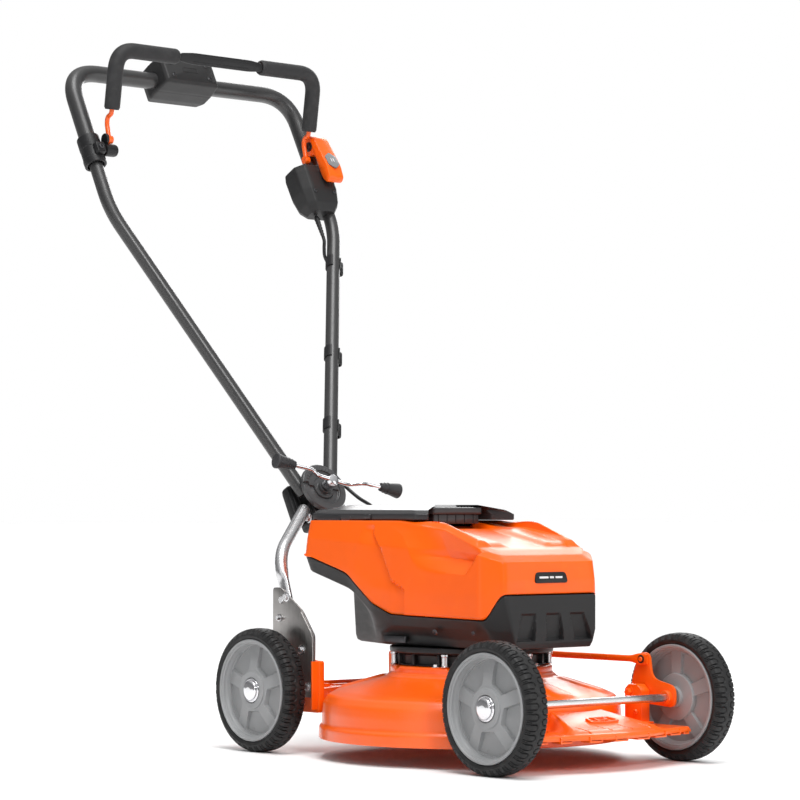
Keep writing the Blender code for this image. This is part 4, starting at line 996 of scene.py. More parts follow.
# ---------------------------------------------------------------- deck
class MOWER_OT_deck(PieceOperator, bpy.types.Operator):
    """Build the round deck pan, the front apron with its comb, the rear frame and the pivot blocks"""

    bl_idname = "mower.deck"
    bl_label = "Deck and frame"

    def build(self):
        self.pan()
        self.apron()
        self.frame()

    def pan(self):
        """A profile turned round, with pressed ribs that run out from the neck, and notches in the collar."""
        outside = [
            (0.046, 0.1385), (0.104, 0.1385), (0.1055, 0.1400), (0.1195, 0.1400), (0.1225, 0.1375),
            (0.1225, 0.1290),
            (0.1262, 0.1265), (0.1285, 0.1235), (0.1330, 0.1212), (0.2030, 0.1010), (0.2170, 0.0950),
            (0.2245, 0.0840),
            (0.2262, 0.0700), (0.2268, 0.0515), (0.2300, 0.0485), (0.2310, 0.0460), (0.2312, 0.0300),
        ]
        inside = [
            (max(radius - 0.003, 0.046), height - 0.003) for radius, height in outside[:-1]
        ] + [(0.2280, 0.0300)]
        profile = curved(np.array(outside + inside[::-1]), 0.0035, 3, closed=True)
        profile = np.vstack([profile, profile[:1]])
        step = np.linalg.norm(np.diff(profile, axis=0), axis=1)
        gone = np.concatenate([[0], np.cumsum(step)])
        stops = np.unique(np.concatenate([gone, np.arange(0, gone[-1], 0.004)]).round(6))[:-1]
        profile = np.stack([np.interp(stops, gone, profile[:, k]) for k in (0, 1)], 1)[::-1]
        columns = 240
        turn = np.linspace(0, 2 * np.pi, columns, endpoint=False)
        radius, height = profile[:, :1], profile[:, 1:]
        rib = np.zeros((len(profile), columns))
        for middle in np.radians((-124.2, -55.8, -90, 55, 125)):
            across = np.abs(radius * np.sin(turn - middle)) + (np.cos(turn - middle) < 0)
            flank = 0.010 + (radius - 0.125) * 0.10
            tall = 0.0042 if abs(middle) != np.pi / 2 else 0.0022
            rib = np.maximum(rib, (1 - rise(across, flank - 0.004, flank + 0.004)) * tall)
        rib = rib * rise(radius, 0.126, 0.140) * (1 - rise(radius, 0.196, 0.214)) * (height > 0.09)
        notch = np.zeros_like(rib)
        for middle in np.radians((-146, -100, -38, 20, 80, 160)):
            notch = np.maximum(
                notch, (1 - rise(np.abs(turn - np.mod(middle, 2 * np.pi)), 0.055, 0.075)) * 0.0036,
            )
        notch = notch * (radius > 0.104) * (height > 0.134)
        points = np.stack([radius * np.cos(turn), radius * np.sin(turn) + DECK_Y, height + rib - notch], -1)
        piece("deck_pan", grid(points[::-1], looped=True), "deck", "orange_paint", ("deck_shell",), 28)
        bolts = together(
            hex_bolt(0.0050, 0.004).at(shift(0.1125 * math.cos(t), DECK_Y + 0.1125 * math.sin(t), 0.1398))
            for t in np.radians((-160, -120, -75, -20, 40, 100, 140))
        )
        piece("deck_collar_bolts", bolts, "deck", "bright_steel")

    def apron(self):
        """A height over the plan: wings, a raised tongue, curved slots and a turned-down lip."""
        x = np.concatenate([[-0.163], np.linspace(-0.1625, 0.1625, 236), [0.163]])
        front = np.interp(np.abs(x), [0, 0.060, 0.122, 0.163], [-0.077, -0.070, -0.052, -0.044])
        rear = np.where(
            np.abs(x) < 0.150, 0.256 - np.sqrt(0.2322 ** 2 - np.minimum(np.abs(x), 0.2) ** 2),
            np.interp(np.abs(x), [0.150, 0.152, 0.163], [0.0782, 0.0780, 0.072]),
        )
        share = np.linspace(0, 1, 90) ** 1.25
        y = front[:, None] + (rear - front)[:, None] * share
        across = np.abs(x)[:, None]
        half = np.interp(y, [-0.064, 0.030], [0.094, 0.054])
        tongue = (1 - rise(across, half - 0.006, half + 0.010)) * (0.0062 + 0.25 * np.maximum(y + 0.050, 0))
        tongue = tongue * rise(y - front[:, None], 0.001, 0.020)
        lip = -0.0040 * (1 - rise(y - front[:, None], 0.0, 0.004))
        slots = np.zeros_like(y)
        for centre in (-0.066, -0.024, 0.018, 0.060):
            bow = centre + 0.010 * np.cos((y + 0.066) / 0.030 * 1.4) - 0.004
            cut = (1 - rise(np.abs(x[:, None] - bow), 0.0008, 0.0018)) * rise(y, -0.0625, -0.0605)
            slots = np.maximum(slots, cut * (1 - rise(y, -0.0385, -0.0365)))
        crease = 0.0012 * (
            1 - rise(np.abs(across - half - 0.014), 0.001, 0.004)
        ) * rise(y - front[:, None], 0.006, 0.012) * (1 - rise(y, 0.03, 0.05))
        edge = np.minimum(rise(0.1632 - across, 0, 0.003), 1) * 0.0012 - 0.0012
        top = 0.0550 + tongue + lip - slots * 0.0030 + crease + edge
        low = np.minimum(top - 0.0032, 0.0520 + np.maximum(tongue - 0.0032, 0))
        upper = np.stack([x[:, None] + 0 * y, behind(y), top], -1)
        under = np.stack([x[:, None] + 0 * y, behind(y), low], -1)[:, ::-1]
        sheet = grid(np.concatenate([upper, under], 1)[:, ::-1], capped=(True, True))
        teeth = []
        for middle, width in (
            (-0.143, 0.026), (-0.103, 0.024), (-0.057, 0.026), (-0.011, 0.026), (0.036, 0.026),
            (0.080, 0.024), (0.124, 0.022), (0.153, 0.012),
        ):
            y0 = float(np.interp(abs(middle), [0, 0.060, 0.122, 0.163], [-0.077, -0.070, -0.052, -0.044]))
            outline = curved(
                [
                    (width / 2, 0.0), (width / 2 - 0.002, 0.020), (-width / 2 + 0.002, 0.020),
                    (-width / 2, 0.0),
                ],
                0.002, 3, closed=True,
            )
            ramp = slab(outline, 0.0440, 0.0465, 0.0005)
            walls = [
                block((0.0022, 0.020, 0.0090), 0.0005, 0.0004).at(
                    shift(s * (width / 2 - 0.0016), 0.0102, 0.0487)
                )
                for s in (-1, 1)
            ]
            teeth.append(together([ramp] + walls).at(shift(middle, behind(y0 + 0.0006), 0)))
        piece("apron_sheet", sheet, "deck", "orange_paint", ("front_apron",), 30)
        piece("comb_teeth", together(teeth), "deck", "orange_paint")
        ring = curved(
            [(0.030, -0.008), (0.026, 0.010), (-0.026, 0.010), (-0.030, -0.008), (0.0, -0.012)], 0.006, 5,
            closed=True,
        )
        slope = np.eye(4)
        slope[1:3, 1:3] = unit([(1, -0.25), (0.25, 1)])
        plate = shift(0.004, behind(-0.018), 0.0692) @ slope
        frame_ring = np.array(
            [
                np.column_stack([ring * k, np.full(len(ring), z)]) for k,
                z in ((1, 0), (1, 0.0022), (0.96, 0.0030), (0.84, 0.0030), (0.80, 0.0022), (0.80, 0.0))
            ]
        )
        bars = [
            block((0.004, 0.014, 0.0026)).at(shift(px, 0, 0.0013))
            for px in (-0.010, 0.010)
        ] + [block((0.018, 0.0035, 0.0026)).at(shift(z=0.0013))]
        piece(
            "apron_panel_ring", together([grid(frame_ring, looped=True)] + bars).at(plate), "deck",
            "orange_paint",
        )

    def frame(self):
        """The crescent with folded edges, the cheeks beside the rear axle and the front pivot blocks."""
        arc = np.linspace(-1, 1, 48) * math.asin(0.1360 / 0.2318)
        rim = np.column_stack([0.2318 * np.sin(arc), DECK_Y + 0.2318 * np.cos(arc)])
        crescent = np.vstack([rim, [(0.1365, behind(0.512)), (-0.1365, behind(0.512))]])
        parts = [slab(crescent, 0.069, 0.099, 0.0015)]
        parts.append(block((0.250, 0.0030, 0.008), 0.001, 0.0008).at(shift(0, behind(0.5095), 0.1025)))
        for side in (-1, 1):
            cheek = curved(
                [
                    (behind(0.442), 0.062), (behind(0.512), 0.062), (behind(0.514), 0.124),
                    (behind(0.574), 0.124), (behind(0.578), 0.086), (behind(0.608), 0.086),
                    (behind(0.608), 0.142), (behind(0.442), 0.142),
                ], 0.006, 5, closed=True,
            )
            parts.append(slab(cheek, -0.0052, 0.0052, 0.0010).at(shift(side * 0.1408) @ FACING_X))
            parts.append(
                block((0.0120, 0.0030, 0.074), 0.0008, 0.0005).at(
                    shift(side * 0.1508, behind(0.4475), 0.1040)
                )
            )
            parts.append(hex_bolt(0.0055, 0.004).at(shift(side * 0.100, behind(0.480), 0.099)))
        parts.append(block((0.030, 0.012, 0.0030)).at(shift(-0.06, behind(0.499), 0.1000)))
        piece("rear_crescent", together(parts), "deck", "orange_paint", ("rear_frame",))
        for hand, side in SIDES.items():
            low, high = (np.array(corner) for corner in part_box(f"pivot_block_{hand}"))
            y0, y1 = low[1], high[1]
            outline = curved(
                [
                    (y0, 0.0555), (y1, 0.0555), (y1, 0.106), (y1 - 0.008, 0.1132), (y0 + 0.010, 0.1132),
                    (y0, 0.104),
                ],
                0.002, 3, closed=True,
            )
            clamp = slab(outline, -0.0090, 0.0090, 0.0012).at(shift(side * 0.1493) @ FACING_X)
            foot = block((0.017, 0.050, 0.003)).at(shift(side * 0.1490, behind(0.050), 0.0568))
            nut = hex_bolt(0.0060, 0.005).at(aimed((side * 0.1403, behind(0.060), 0.101), (-side, 0, 0)))
            rivet = socket_screw(0.0040, 0.0025).at(
                aimed((side * 0.1403, behind(0.047), 0.072), (-side, 0, 0))
            )
            piece(
                f"pivot_clamp_{hand}", together([clamp, foot, nut, rivet]), "deck", "orange_paint",
                (f"pivot_block_{hand}",),
            )


# ---------------------------------------------------------------- cutter, motor and neck
class MOWER_OT_cutting_gear(PieceOperator, bpy.types.Operator):
    """Build the neck, and give the motor, shaft, blade, bolt and batteries their finishes"""

    bl_idname = "mower.cutting_gear"
    bl_label = "Neck and cutting gear"

    def build(self):
        profile = [
            (0.0970, 0.1406), (0.1125, 0.1406), (0.1128, 0.1424), (0.1075, 0.1432), (0.1075, 0.1560),
            (0.1130, 0.1575),
            (0.1180, 0.1590), (0.1232, 0.1600), (0.1238, 0.1612), (0.1238, 0.1668), (0.1225, 0.1680),
            (0.0970, 0.1680),
        ]
        ring = revolve(curved(profile, 0.0006, 2, closed=True), 144, looped=True).at(shift(y=DECK_Y))
        ribs = []
        for turn in np.radians(np.arange(10, 370, 24)):
            matrix = aimed((0, DECK_Y, 0.1496), (0, 0, 1)) @ turned(turn)
            ribs.append(block((0.0090, 0.0045, 0.0165), 0.001, 0.0005).at(matrix @ shift(0.1095)))
        piece("neck_ring", together([ring] + ribs), "deck", "black_plastic", ("neck_adapter",))
        posts = []
        for turn in np.radians((-152, -128, -86, -40, -15, 35, 90, 145)):
            post = revolve(
                [
                    (0.0058, 0.1402), (0.0060, 0.1410), (0.0046, 0.1420), (0.0046, 0.1550), (0.0060, 0.1560),
                    (0.0060, 0.1590),
                ],
                28,
            )
            posts.append(post.at(shift(0.1172 * math.cos(turn), DECK_Y + 0.1172 * math.sin(turn))))
        piece("neck_spacers", together(posts), "deck", "bright_steel")
        for node, finish in (
            ("motor", "motor_metal"), ("motor_shaft", "axle_steel"), ("blade", "blade_steel"),
            ("blade_bolt", "bright_steel"),
            ("battery_left", "black_plastic"), ("battery_right", "black_plastic"),
        ):
            for obj in bpy.data.objects:
                if obj.type == "MESH" and obj.name == node:
                    for entry in obj.material_slots:
                        entry.material = FINISHES[finish]


def turned(angle):
    """A matrix that turns about Z."""
    matrix = np.eye(4)
    matrix[:2, :2] = (math.cos(angle), -math.sin(angle)), (math.sin(angle), math.cos(angle))
    return matrix


# ---------------------------------------------------------------- housings
def ramp(value, stops):
    """Straight-line interpolation through (place, value) stops."""
    return np.interp(value, [stop[0] for stop in stops], [stop[1] for stop in stops])


RIDGE = (
    (0.090, 0.301), (0.100, 0.306), (0.120, 0.3145), (0.160, 0.331), (0.200, 0.345), (0.240, 0.3535),
    (0.280, 0.3565), (0.520, 0.3565),
)
SEAM = (
    (0.082, 0.249), (0.088, 0.247), (0.104, 0.212), (0.300, 0.216), (0.345, 0.232), (0.405, 0.276),
    (0.518, 0.305),
)


def housing_net(levels, columns, rows, round_columns, round_rows):
    """A net from levels of half widths, places behind the axle and a height; each side gets nine stops."""
    stops, rings = (0, 0.2, 0.73, 1, 1.4, 2, 2.206, 2.482, 3), []
    for halves, ys, height in levels:
        finer = zip(np.interp(stops, range(4), halves), np.interp(stops, range(4), ys))
        right = [(half, y, height(y)) for half, y in finer]
        rings.append(right + [(-half, y, z) for half, y, z in right[::-1]])
    return net(rings, columns, rows, round_columns, round_rows) + (0, AXLE_Y["front"], 0)


def height_of(stops):
    """A height as a function of the place behind the axle."""
    return lambda y: float(ramp(y, stops))


class MOWER_OT_lower_housing(PieceOperator, bpy.types.Operator):
    """Build the dark lower tray with its front pockets"""

    bl_idname = "mower.lower_housing"
    bl_label = "Lower housing"

    def build(self):
        floor = height_of([(0, 0.170)])
        levels = [
            ((0.018, 0.028, 0.028, 0.018), (0.228, 0.238, 0.274, 0.284), floor),
            ((0.074, 0.094, 0.108, 0.066), (0.076, 0.102, 0.332, 0.453), floor),
            (
                (0.0780, 0.0980, 0.1130, 0.0680), (0.0738, 0.101, 0.334, 0.458),
                height_of([(0.07, 0.178), (0.36, 0.190), (0.40, 0.2495), (0.52, 0.266)]),
            ),
            (
                (0.0840, 0.1080, 0.1210, 0.1130), (0.0740, 0.1055, 0.300, 0.512),
                height_of([(0.07, 0.196), (0.30, 0.200), (0.345, 0.215), (0.405, 0.254), (0.518, 0.281)]),
            ),
            (
                (0.0920, 0.1170, 0.1270, 0.1190), (0.0820, 0.1120, 0.300, 0.518),
                lambda y: float(ramp(y, SEAM)) - 0.0014,
            ),
            (
                (0.0905, 0.1152, 0.1252, 0.1174), (0.0838, 0.1136, 0.300, 0.5162),
                lambda y: float(ramp(y, SEAM)) - 0.0002,
            ),
        ]
        side = [6, 12, 8, 26, 44, 16, 16, 24]
        columns = side + [40] + side[::-1] + [150]
        points = housing_net(levels, columns, [18, 8, 12, 16, 2], 9, 1)
        x, y, z = points[..., 0], points[..., 1] - AXLE_Y["front"], points[..., 2]
        sunk = np.zeros_like(x)
        for low, top in ((-0.0580, -0.0490), (0.0, 0.0010), (0.0580, 0.0490)):
            share = np.clip((z - 0.183) / 0.036, 0, 1)
            middle, half = low + (top - low) * share, 0.0180 - 0.003 * share
            inside = (
                1 - rise(np.abs(x - middle), half - 0.0015, half)
            ) * rise(z, 0.1815, 0.1830) * (1 - rise(z, 0.2185, 0.2200))
            sunk = np.maximum(sunk, inside * (0.0090 - 0.0060 * share))
        points[..., 1] += sunk * (y < 0.100)
        tray = grid(points, capped=(True, False))
        shell = piece("housing_tray", tray, "deck", "dark_plastic", ("lower_housing",), 30)
        thicken(shell)
        details = []
        for side in (-1, 1):
            details.append(
                socket_screw(0.0050, 0.0016).at(
                    aimed((side * 0.1185, behind(0.205), 0.1925), (side, 0, -0.45))
                )
            )
            details.append(
                socket_screw(0.0034, 0.0016).at(
                    aimed((side * 0.1150, behind(0.125), 0.1935), (side, -0.1, -0.35))
                )
            )
            details.append(
                block((0.006, 0.050, 0.010), 0.002, 0.001).at(shift(side * 0.1140, behind(0.300), 0.1790))
            )
        piece("tray_screws", together(details), "deck", "dark_screw")


def thicken(shell):
    """Give an open shell its wall, inwards."""
    wall = shell.modifiers.new("wall", "SOLIDIFY")
    wall.thickness, wall.offset = sizes().wall, -1


class MOWER_OT_upper_housing(PieceOperator, bpy.types.Operator):
    """Build the orange cover with its hood, side scoops and rear corners"""

    bl_idname = "mower.upper_housing"
    bl_label = "Upper housing"

    def build(self):
        ridge = height_of(RIDGE)
        crown = height_of(
            [
                (0.110, 0.3110), (0.150, 0.3285), (0.200, 0.3465), (0.250, 0.3558), (0.300, 0.3568),
                (0.520, 0.3568),
            ]
        )
        levels = [
            (
                (0.0920, 0.1170, 0.1270, 0.1190), (0.0820, 0.1120, 0.300, 0.518),
                lambda y: float(ramp(y, SEAM)) + 0.0010,
            ),
            (
                (0.0917, 0.1166, 0.1266, 0.1186), (0.0824, 0.1124, 0.300, 0.5179),
                lambda y: float(ramp(y, SEAM)) * 0.62 + 0.304 * 0.38,
            ),
            (
                (0.0900, 0.1145, 0.1235, 0.1165), (0.0855, 0.1145, 0.300, 0.516),
                height_of([(0.085, 0.296), (0.120, 0.308), (0.520, 0.330)]),
            ),
            ((0.0820, 0.1060, 0.1120, 0.1115), (0.1010, 0.1220, 0.300, 0.514), ridge),
            ((0.0760, 0.0900, 0.1010, 0.1010), (0.1200, 0.1480, 0.300, 0.507), crown),
            ((0.0810, 0.0925, 0.0940, 0.0920), (0.3220, 0.3340, 0.400, 0.498), height_of([(0, 0.3568)])),
        ]
        side = [4, 9, 6, 44, 70, 18, 22, 34]
        columns = side + [24] + side[::-1] + [56]
        points = housing_net(levels, columns, [8, 20, 26, 6, 36], 7, 1)
        self.scoops(points)
        self.corners(points)
        self.hood(points)
        shell = piece(
            "housing_cover", grid(points, capped=(False, False)), "deck", "orange_plastic",
            ("upper_housing",), 30,
        )
        thicken(shell)
        self.details()

    def scoops(self, points):
        """Push each side in: the depth grows towards a crease and ends sharply behind the front corner."""
        side, y, z = np.sign(points[..., 0]), points[..., 1] - AXLE_Y["front"], points[..., 2]
        rear = ramp(
            z,
            [(0.270, 0.236), (0.285, 0.240), (0.298, 0.253), (0.320, 0.267), (0.338, 0.285), (0.349, 0.316)],
        )
        crease = ramp(z, [(0.285, 0.180), (0.301, 0.182), (0.303, 0.191), (0.328, 0.202), (0.345, 0.211)])
        front = ramp(z, [(0.273, 0.146), (0.303, 0.122), (0.328, 0.102)])
        bottom = ramp(y, [(0.143, 0.278), (0.192, 0.281), (0.236, 0.285)])
        top, ledge = ramp(y, RIDGE) + 0.002, ramp(y, [(0.130, 0.298), (0.190, 0.303), (0.250, 0.306)])
        reach = 0.018 * np.minimum((top - z) / (top - ledge), (z - bottom) / (ledge - bottom))
        share = np.clip((rear - y) / (rear - crease), 0, 1)
        depth = np.maximum(reach, 0) * share * rise(
            y, front - 0.0010, front + 0.0030,
        ) * (np.abs(points[..., 0]) > 0.095)
        points[..., 0] -= side * depth

    def corners(self, points):
        """Cut a slanting facet into both rear corners."""
        side, y, z = np.sign(points[..., 0]), points[..., 1] - AXLE_Y["front"], points[..., 2]
        near = ramp(z, [(0.253, 0.269), (0.268, 0.299), (0.312, 0.324), (0.338, 0.350)])
        far = ramp(z, [(0.274, 0.381), (0.297, 0.385), (0.342, 0.374)])
        share = rise(y, near - 0.0010, near + 0.0012) * (
            1 - np.clip((y - near - 0.002) / np.maximum(far - near, 0.008), 0, 1)
        )
        points[..., 0] -= side * 0.0045 * share * rise(0.3520 - z, 0, 0.010) * (
            np.abs(points[..., 0]) > 0.105
        )

    def hood(self, points):
        """Raise two shoulders behind the front edge, and sink the recess in front of the lid."""
        x, y, z = np.abs(points[..., 0]), points[..., 1] - AXLE_Y["front"], points[..., 2]
        top = z > 0.3060
        plan = rise(x, 0.030, 0.052) * (
            1 - rise(x, 0.096, 0.106)
        ) * rise(y, 0.128, 0.136) * (1 - rise(y, 0.225, 0.285))
        recess = (1 - rise(x, 0.058, 0.061)) * rise(y, 0.262, 0.276) * (1 - rise(y, 0.326, 0.330))
        points[..., 2] += top * (plan * 0.0055 - recess * 0.0085)

    def details(self):
        """A rounded badge with plain bars on the front."""
        outline = curved(
            [(0.034, -0.008), (0.030, 0.008), (-0.030, 0.008), (-0.034, -0.008)], 0.006, 6, closed=True,
        )
        face = aimed((0.0, behind(0.0835), 0.2735), (0, -1, 0.11), (0, 0, 1))
        badge = slab(outline, -0.0010, 0.0024, 0.0008)
        piece("front_badge", badge.at(face), "deck", "black_plastic")
        bars = together(
            block((width, 0.0030, 0.0010), 0.001, 0.0003).at(shift(x, 0, 0.0026)) for x,
            width in ((-0.0155, 0.018), (0.0005, 0.008), (0.0150, 0.014))
        )
        piece("front_badge_mark", bars.at(face), "deck", "white_print")


# ---------------------------------------------------------------- lid
class MOWER_OT_lid(PieceOperator, bpy.types.Operator):
    """Build the battery lid with its notch and the latch in front of it"""

    bl_idname = "mower.lid"
    bl_label = "Lid and latch"

    def build(self):
        corners = [
            (0.060, 0.312), (0.064, 0.281), (0.088, 0.255), (0.102, 0.271), (0.1045, 0.440), (0.1045, 0.512),
        ]
        def ring(inset, height, lift=0.0):
            points = []
            for x, y in corners:
                points.append(
                    (
                        x - inset * (0.4 if x < 0.07 else 1.0),
                        y + inset * (1 if y < 0.3 else -0.3 if y > 0.5 else 0), height + lift,
                    )
                )
            return points + [(-x, y, z) for x, y, z in points[::-1]]
        levels = np.array([
            ring(0.0012, 0.3573), ring(0, 0.3585), ring(0, 0.3662), ring(0.0010, 0.3674),
            ring(0.0080, 0.3722), ring(0.0100, 0.3730),
            [(x * 0.55, 0.38 + (y - 0.38) * 0.80, 0.3805) for x, y, z in ring(0.0100, 0)],
        ])
        levels[..., 1] += AXLE_Y["front"]
        points = net(levels, [10, 14, 10, 60, 30, 56, 30, 60, 10, 14, 10, 32], [2, 5, 2, 6, 2, 30], 2, 1)
        y = points[..., 1] - AXLE_Y["front"]
        upper = points[..., 2] > 0.3735
        groove = (
            1 - rise(np.abs(np.abs(points[..., 0]) - 0.030), 0.0008, 0.0020)
        ) * rise(y, 0.335, 0.345) * (1 - rise(y, 0.46, 0.47))
        points[..., 2] -= upper * groove * 0.0010
        lid = grid(points, capped=(True, True))
        tabs = []
        for side in (-1, 1):
            tabs.append(
                block((0.0040, 0.056, 0.0100), 0.001, 0.0006).at(shift(side * 0.1036, behind(0.470), 0.3590))
            )
            tabs.append(
                block((0.0026, 0.014, 0.0065), 0.001, 0.0006).at(shift(side * 0.1048, behind(0.376), 0.3625))
            )
        hinge = [
            revolve(
                [(0.0044, -0.014), (0.0050, -0.0135), (0.0050, 0.0135), (0.0044, 0.014)], 24,
            ).at(shift(x, behind(0.5128), 0.3590) @ FACING_X)
            for x in (-0.070, 0.070)
        ]
        piece("battery_cover", together([lid] + tabs + hinge), "lid", "lid_plastic", ("battery_lid",), 24)
        outline = curved(
            [
                (0.050, behind(0.286)), (0.0555, behind(0.300)), (0.0555, behind(0.3095)),
                (-0.0555, behind(0.3095)), (-0.0555, behind(0.300)), (-0.050, behind(0.286)),
            ],
            0.004, 4, closed=True,
        )
        parts = [slab(outline, 0.3660, 0.3765, 0.0016)]
        parts.append(block((0.094, 0.017, 0.0150), 0.003, 0.001).at(shift(0, behind(0.2985), 0.3590)))
        parts += [
            block((0.0030, 0.0020, 0.0125), 0.0008, 0.0004).at(shift(x, behind(0.2898), 0.3590))
            for x in np.linspace(-0.036, 0.036, 5)
        ]
        parts += [
            block((0.080, 0.0016, 0.0010), 0.0006, 0.0003).at(shift(0, behind(y), 0.3768))
            for y in (0.294, 0.299, 0.304)
        ]
        piece(
            "latch_button", together(parts), "latch", "lid_plastic", ("lid_latch",), 28,
        )


# ---------------------------------------------------------------- side plates and legs
class MOWER_OT_supports(PieceOperator, bpy.types.Operator):
    """Build the satin side plates with their bolts and the bent legs that carry the handle"""

    bl_idname = "mower.supports"
    bl_label = "Side plates and legs"

    def build(self):
        for hand, side in SIDES.items():
            outline = curved(
                [
                    (behind(y), z) for y,
                    z in (
                        (0.450, 0.085), (0.506, 0.085), (0.508, 0.132), (0.552, 0.136), (0.552, 0.252),
                        (0.532, 0.252), (0.480, 0.218), (0.450, 0.180),
                    )
                ],
                0.006, 5, closed=True,
            )
            plate = slab(outline, -0.0015, 0.0015, 0.0004).at(shift(side * 0.1482) @ FACING_X)
            rim = curved(
                [(behind(y), z) for y, z in ((0.4535, 0.089), (0.4535, 0.179), (0.4820, 0.2150))], 0.01, 4
            )
            bead = sweep(np.column_stack([np.full(len(rim), side * 0.1497), rim]), 0.0012, 10, up=(1, 0, 0))
            piece(
                f"side_panel_{hand}", plate + bead, "deck", "plate_steel", (f"side_plate_{hand}",), 25,
            )
            bolts = [
                hex_bolt(size, 0.0045).at(aimed((side * 0.1496, behind(y), z), (side, 0, 0)))
                for y, z,
                size in (
                    (0.518, 0.238, 0.0052), (0.536, 0.205, 0.0040), (0.480, 0.157, 0.0055),
                    (0.464, 0.101, 0.0055), (0.494, 0.101, 0.0040),
                )
            ]
            piece(f"side_panel_bolts_{hand}", together(bolts), "deck", "bright_steel")
            corners = [
                (side * 0.0385, behind(0.6125), 0.3735), (side * 0.130, behind(0.563), 0.300),
                (side * 0.1362, behind(0.529), 0.222),
            ]
            path = spaced(curved(corners, 0.035, 14), 60)
            share = np.linspace(0, 1, 60)
            flat = 1 - 0.42 * rise(share, 0.72, 0.80)
            radius = 0.0100 * (1 + 0.12 * rise(share, 0.72, 0.80))
            leg = sweep(path, radius, 32, up=(1, 0, 0), squash=flat)
            nut = hex_bolt(0.0062, 0.005).at(aimed((side * 0.1452, behind(0.5320), 0.2330), (side, 0, 0)))
            piece(f"bent_leg_{hand}", leg + nut, "deck", "bright_steel", (f"leg_{hand}",), 40)


